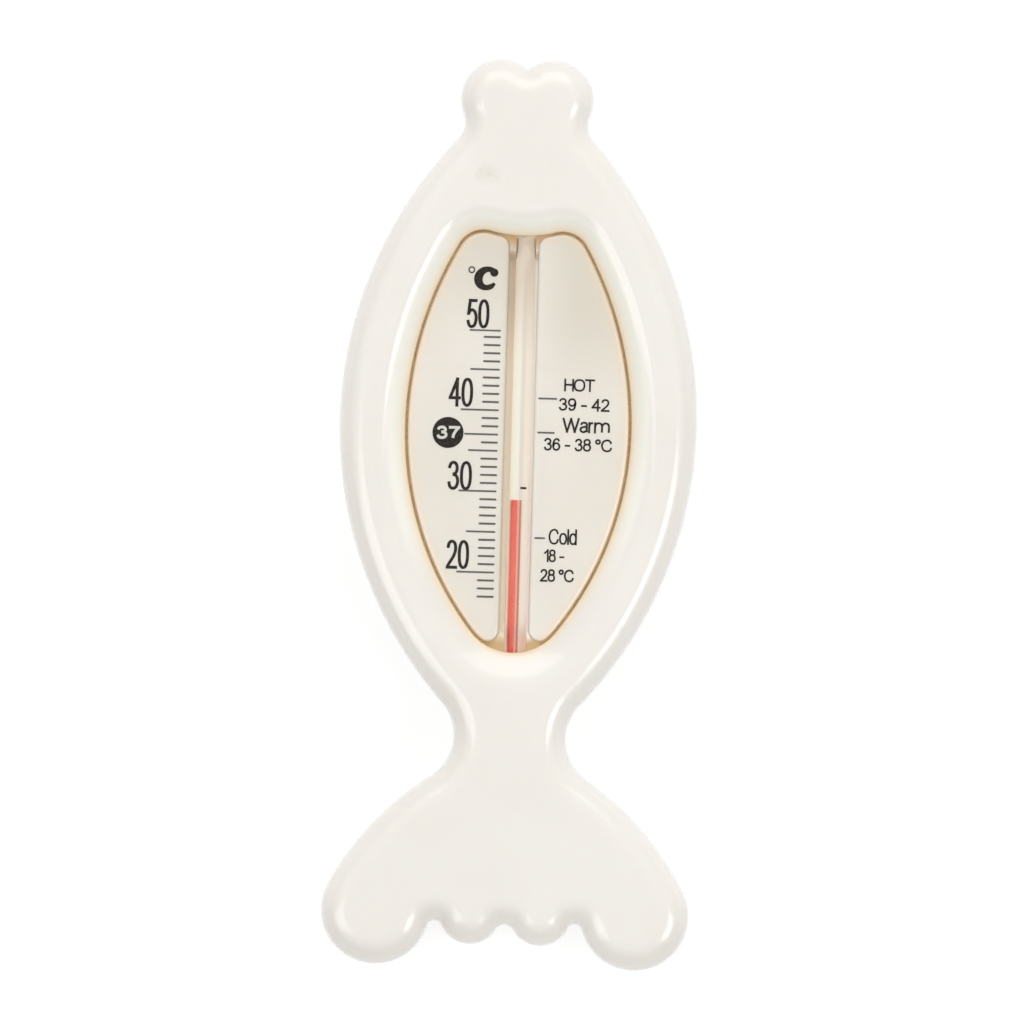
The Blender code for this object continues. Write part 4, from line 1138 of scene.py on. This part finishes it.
def spiritColumn():
    # The bulb's filling and the thread that stands in the bore up to the reading, with a rounded top
    tip = tubeLow[1] + tube["glassWall"]
    bulbR = tube["bulbRadius"] - tube["glassWall"]
    bulbEnd = tubeLow[1] + tube["bulbLength"]
    neckLength, neckR = tube["fillingNeck"]
    filling = roundedEnd(bulbR, tip, 1) + [(bulbR, bulbEnd - neckLength), (neckR, bulbEnd), (1e-6, bulbEnd)]
    places, faces = turned(filling, 48)
    sheets = [(alongFish(places, tube["x"]), faces)]
    # The thread has a flat oval section, as the bore of a household thermometer has
    cap = tube["threadCap"]
    thread = [(1e-6, bulbEnd - 2)] + [(1.0, y) for y in np.linspace(bulbEnd - 2, reading - cap, 40)]
    angle = np.linspace(0, math.pi / 2, 7)[1:]
    thread += [(math.cos(a) + 1e-6, reading - cap * (1 - math.sin(a))) for a in angle]
    places, faces = turned(thread, 32)
    places = places * [tube["boreWidth"] / 2, tube["boreDepth"] / 2, 1]
    sheets.append((alongFish(places, tube["x"] - tube["boreLeft"]), faces))
    return meshFrom("spiritColumn", sheets)


piece("spiritColumn", spiritColumn(), spiritRed, "spirit_red", "spirit_column")
print("tube and spirit made")


# Print

ink = {"thickness": 0.035, "endSteps": 5, "overlap": 0.003}
scale = {
    "first": 17, "last": 50, "lineWidth": 0.29, "fromChannel": 1.0,
    "one": 2.8, "five": 4.9, "ten": 6.3, "top": 5.2, "topWidth": 0.27,
    "topDrop": 0.27, "oneWidth": 0.33,     # the topmost line stands a little low; the short lines are fatter
    "zoneFromChannel": 0.7, "aboveNode": 0.14,   # a line's middle above the lower edge of its CAD node
}
disc = {
    "x": -11.57, "degree": 37, "radius": 2.56, "gap": 0.1, "above": 0.13,
    "figuresAside": 0.03, "figures": (3.9, 2.2, 0.46, 0.2),     # width, height, stroke and gap of its figures
}
zones = {"hot": (41.6, 2.86), "warm": (37.4, 2.6), "cold": (24.4, 1.5)}    # degree, length in mm
inkZ = lobeZ + ink["thickness"]
firstY, lastY = (boxOf(node)[0][1] + scale["aboveNode"] for node in ("degree_line_17", "degree_line_50"))
pitch = (lastY - firstY) / (scale["last"] - scale["first"])


def degreeY(degree):
    return firstY + (degree - scale["first"]) * pitch


def stadiums(starts, ends, widths):
    # Bars with round ends between pairs of points: a half circle at each end
    starts, ends, widths = (np.asarray(value, float) for value in (starts, ends, widths))
    along = ends - starts
    heading = np.arctan2(along[:, 1], along[:, 0])[:, None]
    angle = np.linspace(-math.pi / 2, math.pi / 2, ink["endSteps"])
    half = widths[:, None, None] / 2
    caps = []
    for centres, turn in ((ends, 0), (starts, math.pi)):
        outward = heading + angle + turn
        caps.append(centres[:, None] + half * np.stack([np.cos(outward), np.sin(outward)], axis=2))
    return np.concatenate(caps, axis=1)


def flatInk(outlines):
    return extruded(outlines, lobeZ, inkZ)


def printed(name, sheets, material, *nodes, slot="print_black"):
    # A piece of print on the plate
    piece(name, meshFrom(name, sheets, smooth=False), material, slot, *nodes)


def degreeLines(degrees):
    # Bars of the scale, longer at each fifth and tenth degree and up to the disc at 37
    starts, ends, widths = [], [], []
    for degree in degrees:
        length = scale["ten"] if degree % 10 == 0 else scale["five"] if degree % 5 == 0 else scale["one"]
        length = scale["top"] if degree == scale["last"] else length
        startX = channelLeft - scale["fromChannel"]
        endX = disc["x"] + disc["radius"] + disc["gap"] if degree == disc["degree"] else startX - length
        half = scale["lineWidth"] / 2
        y = degreeY(degree) - scale["topDrop"] * (degree == scale["last"])
        starts.append((startX - half, y))
        ends.append((endX + half, y))
        width = scale["lineWidth"] if degree in longOnes else scale["oneWidth"]
        widths.append(scale["topWidth"] if degree == scale["last"] else width)
    return flatInk(stadiums(starts, ends, widths))


allDegrees = range(scale["first"], scale["last"] + 1)
longOnes = [degree for degree in allDegrees if degree % 5 == 0 or degree == disc["degree"]]
shortOnes = [degree for degree in allDegrees if degree not in longOnes]
for name, degrees in (("longLines", longOnes), ("shortLines", shortOnes)):
    printed(name, [degreeLines(degrees)], inkGrey, *[f"degree_line_{degree}" for degree in degrees])

zoneStart = channelRight + scale["zoneFromChannel"]
zoneBars = stadiums([(zoneStart, degreeY(degree)) for degree, _ in zones.values()],
                    [(zoneStart + length, degreeY(degree)) for degree, length in zones.values()],
                    [scale["lineWidth"]] * len(zones))
printed("zoneLines", [flatInk(zoneBars)], inkGrey, "hot_zone_line", "warm_zone_line", "cold_zone_line")


# Figures and letters as strokes. A place is (x, y) with 1 as the height of a capital; each glyph is its width
# and its strokes: a line between two places, a curve through more, or an oval (centre, half sizes).
glyphs = {
    "0": (0.42, [("oval", (0.21, 0.5), (0.21, 0.5))]),
    "1": (0.22, [((0.22, 0), (0.22, 1)), ((0.22, 1), (0, 0.74))]),
    "2": (0.42, [((0.01, 0.74), (0.07, 0.93), (0.21, 1), (0.35, 0.93), (0.4, 0.73), (0.34, 0.5),
        (0.2, 0.29), (0.07, 0.13), (0, 0)), ((0, 0), (0.42, 0))]),
    "3": (0.42, [((0.01, 0.77), (0.08, 0.94), (0.2, 1), (0.33, 0.94), (0.38, 0.77), (0.32, 0.6),
        (0.18, 0.54)), ((0.18, 0.54), (0.35, 0.48), (0.42, 0.28), (0.35, 0.07), (0.2, 0), (0.06, 0.07),
        (0, 0.26))]),
    "4": (0.44, [((0.33, 0), (0.33, 1)), ((0.33, 0.99), (0, 0.29)), ((0, 0.28), (0.44, 0.28))]),
    "5": (0.42, [((0.39, 1), (0.1, 1)), ((0.1, 1), (0.03, 0.5)), ((0.03, 0.5), (0.11, 0.61), (0.22, 0.64),
        (0.35, 0.56), (0.42, 0.33), (0.35, 0.08), (0.2, 0), (0.07, 0.06), (0, 0.25))]),
    "6": (0.42, [((0.39, 0.79), (0.33, 0.95), (0.22, 1), (0.07, 0.86), (0, 0.42), (0.06, 0.09), (0.21, 0),
        (0.35, 0.08), (0.42, 0.31), (0.35, 0.54), (0.21, 0.62), (0.07, 0.53), (0.01, 0.34))]),
    "7": (0.42, [((0, 1), (0.42, 1)), ((0.42, 1), (0.28, 0.67), (0.18, 0.34), (0.14, 0))]),
    "8": (0.42, [("oval", (0.21, 0.78), (0.18, 0.22)), ("oval", (0.21, 0.28), (0.21, 0.28))]),
    "9": (0.42, [((0.03, 0.21), (0.09, 0.05), (0.2, 0), (0.35, 0.14), (0.42, 0.58), (0.36, 0.91), (0.21, 1),
        (0.07, 0.92), (0, 0.69), (0.07, 0.46), (0.21, 0.38), (0.35, 0.47), (0.41, 0.66))]),
    "-": (0.3, [((0.03, 0.4), (0.27, 0.4))]),
    "°": (0.26, [("oval", (0.13, 0.83), (0.13, 0.17))]),
    " ": (0.1, []),
    "C": (0.62, [((0.61, 0.69), (0.51, 0.93), (0.33, 1), (0.1, 0.87), (0, 0.5), (0.1, 0.12), (0.33, 0),
        (0.53, 0.08), (0.63, 0.33))]),
    "H": (0.7, [((0, 0), (0, 1)), ((0.7, 0), (0.7, 1)), ((0, 0.53), (0.7, 0.53))]),
    "O": (0.86, [("oval", (0.43, 0.5), (0.43, 0.5))]),
    "T": (0.7, [((0, 1), (0.7, 1)), ((0.35, 1), (0.35, 0))]),
    "W": (1.05, [((0, 1), (0.26, 0)), ((0.26, 0), (0.525, 1)), ((0.525, 1), (0.79, 0)), ((0.79, 0),
        (1.05, 1))]),
    "a": (0.46, [((0.02, 0.56), (0.1, 0.69), (0.25, 0.73), (0.4, 0.67), (0.43, 0.5), (0.43, 0.14),
        (0.47, 0)), ((0.43, 0.44), (0.22, 0.39), (0.04, 0.32), (0, 0.17), (0.09, 0.03), (0.23, 0),
        (0.37, 0.08), (0.43, 0.22))]),
    "r": (0.26, [((0, 0), (0, 0.72)), ((0, 0.42), (0.05, 0.62), (0.14, 0.71), (0.26, 0.71))]),
    "m": (0.96, [((0, 0), (0, 0.72)), ((0, 0.42), (0.08, 0.64), (0.24, 0.72), (0.41, 0.66), (0.48, 0.48),
        (0.48, 0)), ((0.48, 0.42), (0.56, 0.64), (0.72, 0.72), (0.89, 0.66), (0.96, 0.48), (0.96, 0))]),
    "o": (0.44, [("oval", (0.22, 0.36), (0.22, 0.36))]),
    "l": (0.0, [((0, 0), (0, 1))]),
    "d": (0.42, [((0.42, 0), (0.42, 1)), ("oval", (0.21, 0.36), (0.21, 0.36))]),
}


def smoothPath(places, steps=7):
    # A curve through the places: cubic between neighbours, its slope at each taken from the two beside it
    places = np.array(places, float)
    ends = np.concatenate([[2 * places[0] - places[1]], places, [2 * places[-1] - places[-2]]])
    t = (np.arange(steps) / steps)[:, None]
    a, b, c, d = ends[:-3, None], ends[1:-2, None], ends[2:-1, None], ends[3:, None]
    bend, twist = 2 * a - 5 * b + 4 * c - d, 3 * b - a - 3 * c + d
    path = 0.5 * (2 * b + (c - a) * t + bend * t ** 2 + twist * t ** 3)
    return np.concatenate([path.reshape(-1, 2), places[-1:]])


def ribbon(spine, width, lowZ, highZ, closed=False):
    # A flat stroke along a path: to each side by half its width, from one height to another
    if closed:
        heading = np.roll(spine, -1, axis=0) - np.roll(spine, 1, axis=0)
    else:
        heading = np.gradient(spine, axis=0)
    heading = heading / np.linalg.norm(heading, axis=1)[:, None]
    half = np.broadcast_to(width, len(spine)) / 2
    side = np.stack([-heading[:, 1], heading[:, 0]], axis=1) * half[:, None]
    corners = [(spine - side, lowZ), (spine + side, lowZ), (spine + side, highZ), (spine - side, highZ)]
    places = np.stack([np.column_stack([corner, np.full(len(spine), z)]) for corner, z in corners], axis=1)
    faces = gridFaces(len(spine), 4, closed=True).tolist()
    last = 4 * (len(spine) - 1)
    if closed:
        faces += [[last + i, last + (i + 1) % 4, (i + 1) % 4, i] for i in range(4)]
    else:
        faces += [[3, 2, 1, 0], [last, last + 1, last + 2, last + 3]]
    return places.reshape(-1, 3), faces


def ovalPath(centre, halfSize, power=2.35, count=40):
    # A slightly squared oval: x = a |cos|^(2/p), y = b |sin|^(2/p), each with its own sign
    angle = math.tau * np.arange(count) / count
    wave = np.stack([np.cos(angle), np.sin(angle)], axis=1)
    return np.array(centre) + np.array(halfSize) * np.sign(wave) * np.abs(wave) ** (2 / power)


def lettering(text, x, y, width, height, stroke, gap, baseZ=lobeZ):
    # Strokes of a text whose ink fills a box centred on a place, with a gap between the glyphs. Where two
    # strokes of a glyph cross, the later one lies a hair higher.
    steps = [glyphs[letter][0] for letter in text]
    starts = np.concatenate([[0], np.cumsum([step + gap for step in steps])])
    total = starts[-1] - gap
    scaleX, scaleY = (width - stroke) / total, height - stroke
    origin = np.array([x - (width - stroke) / 2, y - (height - stroke) / 2])
    sheets = []
    for letter, start in zip(text, starts):
        for order, places in enumerate(glyphs[letter][1]):
            closed, straight = places[0] == "oval", len(places) == 2
            if closed:
                path = ovalPath(*places[1:])
            else:
                path = np.array(places, float) if straight else smoothPath(places)
            path = origin + (path + [start, 0]) * [scaleX, scaleY]
            if straight:
                along = (path[1] - path[0]) / np.linalg.norm(path[1] - path[0]) * stroke / 2
                path = np.array([path[0] - along, path[1] + along])
            topZ = baseZ + ink["thickness"] + order * ink["overlap"]
            sheets.append(ribbon(path, stroke, baseZ, topZ, closed))
    return sheets


# Centre, width, height, stroke and gap of each text. Under the zones' names stand plain temperatures, where
# the photo has small words.
numerals = {
    "50": (-7.17, 107.82, 3.79, 4.8, 0.5, 0.17), "40": (-9.61, 94.79, 4.0, 4.8, 0.5, 0.17),
    "30": (-9.45, 81.04, 4.05, 4.8, 0.5, 0.17), "20": (-9.43, 68.01, 3.8, 4.8, 0.5, 0.17),
}
words = {
    "HOT": (9.92, 96.45, 5.06, 2.08, 0.30, 0.14), "39 - 42": (10.77, 93.25, 8.4, 2.1, 0.30, 0.14),
    "Warm": (11.2, 89.82, 7.85, 2.45, 0.33, 0.14), "36 - 38 °C": (9.94, 86.6, 11.3, 2.1, 0.30, 0.14),
    "Cold": (7.84, 71.37, 4.68, 2.6, 0.30, 0.14), "18 -": (6.55, 68.2, 3.4, 2.1, 0.28, 0.14),
    "28 °C": (7.08, 64.95, 5.6, 2.1, 0.30, 0.14),
}
numeralNodes = [f"numeral_{text}_{place}" for text in numerals for place in ("tens", "units")]
for name, texts, nodes in (("numerals", numerals, numeralNodes), ("zoneWords", words, [])):
    sheets = [sheet for text, values in texts.items() for sheet in lettering(text, *values)]
    printed(name, sheets, inkBlack, *nodes)


def circleOutline(x, y, radius, count):
    angle = math.tau * np.arange(count) / count
    return np.column_stack([x + radius * np.cos(angle), y + radius * np.sin(angle)])


discY = degreeY(disc["degree"]) + disc["above"]
printed("bodyHeatDisc", [flatInk(circleOutline(disc["x"], discY, disc["radius"], 96))], inkBlack, "disc_37")
discFigures = lettering("37", disc["x"] + disc["figuresAside"], discY, *disc["figures"], inkZ)
printed("discFigures", discFigures, plateInk, slot="plate_cream")

unit = {
    "x": -5.78, "fromTail": 113.68, "halfWidth": 1.48, "halfHeight": 1.52, "lean": 0.14,
    "ballX": 1.12, "ballY": 0.98, "ballRadius": 0.67,
    "ringX": -8.39, "ringFromTail": 115.05, "ringRadius": 0.46, "ringStroke": 0.2,
    "startAngle": 48, "sweep": 282, "stroke": 0.88, "swell": 0.52, "taper": 0.4, "taperFrom": 0.88,
}


def unitSign():
    # A heavy C whose stroke swells on the left, with a ball at its upper end, and a thin ring.
    # Width along the C = stroke + swell x (how far left of its middle)^1.2 - taper towards the lower end
    t = np.linspace(0, 1, 48)
    angle = np.radians(unit["startAngle"] + t * unit["sweep"])
    x = unit["x"] + unit["halfWidth"] * np.cos(angle) + unit["lean"] * np.sin(angle)
    y = unit["fromTail"] + unit["halfHeight"] * np.sin(angle)
    width = unit["stroke"] + unit["swell"] * np.clip(-np.cos(angle), 0, 1) ** 1.2
    width = width - unit["taper"] * smoothStep(t, unit["taperFrom"], 1.0)
    ball = circleOutline(unit["x"] + unit["ballX"], unit["fromTail"] + unit["ballY"], unit["ballRadius"], 32)
    ring = circleOutline(unit["ringX"], unit["ringFromTail"], unit["ringRadius"], 36)
    return [
        ribbon(np.stack([x, y], axis=1), width, lobeZ, inkZ),
        extruded(ball, lobeZ, inkZ + ink["overlap"]),
        ribbon(ring, unit["ringStroke"], lobeZ, inkZ, closed=True),
    ]


printed("unitSign", unitSign(), inkBlack, "unit_c", "unit_ring")

for node, material in (("tube_bed", cementAmber), ("tube_mark", inkBlack)):
    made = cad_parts[node]
    made.data.materials.clear()
    made.data.materials.append(material)
print("print made")


# Stage, light and camera

stage = {
    "floorSize": 4.0, "floorBelow": 0.2,     # metres across, and mm under the fish
    "floorColour": (0.2, 0.2, 0.2), "floorGlow": 0.82,
    "worldColour": (1, 0.995, 0.985), "worldLight": 0.285,
}
photo = {
    "pixels": 1024, "mmPerPixel": 0.16538, "lean": 1.6,   # the fish leans this many degrees to the right
    "centreX": -0.645, "centreFromTail": 75.25, "planeZ": 8.5, "height": 3.0, "sensor": 36.0,
}
lights = {
    "topSoft": {"azimuth": 90, "tilt": 52, "distance": 0.95, "size": (0.8, 1.05), "watts": 5.7},
    "leftSoft": {"azimuth": 205, "tilt": 40, "distance": 1.0, "size": (0.8, 0.42), "watts": 3.5},
    "rightStrip": {"azimuth": -22, "tilt": 40, "distance": 1.0, "size": (0.42, 0.42), "watts": 3.7},
}


def makeFloor():
    mesh = bpy.data.meshes.new("floor")
    half = stage["floorSize"] / 2
    corners = [(x * half, y * half, 0) for x, y in ((-1, -1), (1, -1), (1, 1), (-1, 1))]
    mesh.from_pydata(corners, [], [(0, 1, 2, 3)])
    floor = addObject("floor", mesh)
    floor.location.z = -stage["floorBelow"] * mm
    material, tree, shader = newMaterial("palePaper")
    setSockets(shader, {"Base Color": (*stage["floorColour"], 1), "Roughness": 0.9,
                        "Emission Color": (1, 1, 1, 1), "Emission Strength": stage["floorGlow"]})
    mesh.materials.append(material)


def makeLight(name, values):
    # A rectangular lamp that looks at the fish. azimuth is from +X towards +Y, tilt from straight up
    data = bpy.data.lights.new(name, "AREA")
    data.shape = "RECTANGLE"
    data.size, data.size_y = values["size"]
    data.energy = values["watts"]
    azimuth = Matrix.Rotation(math.radians(values["azimuth"]), 4, "Z")
    tilt = Matrix.Rotation(math.radians(values["tilt"]), 4, "Y")
    addObject(name, data).matrix_world = azimuth @ tilt @ Matrix.Translation((0, 0, values["distance"]))


def makeCamera():
    data = bpy.data.cameras.new("camera")
    data.sensor_width = photo["sensor"]
    data.lens = photo["sensor"] * photo["height"] / (photo["pixels"] * photo["mmPerPixel"] * mm)
    data.clip_end = 20
    camera = addObject("camera", data)
    camera.location = (
        photo["centreX"] * mm, (photo["centreFromTail"] + tailY) * mm, photo["height"] + photo["planeZ"] * mm)
    camera.rotation_euler = (0, 0, math.radians(photo["lean"]))
    bpy.context.scene.camera = camera


def makeWorld():
    world = bpy.data.worlds.new("paleRoom")
    world.use_nodes = True
    setSockets(world.node_tree.nodes["Background"], {
        "Color": (*stage["worldColour"], 1), "Strength": stage["worldLight"],
    })
    bpy.context.scene.world = world
    bpy.context.scene.view_settings.view_transform = "Standard"


makeFloor()
for name, values in lights.items():
    makeLight(name, values)
makeCamera()
makeWorld()
print("stage made")
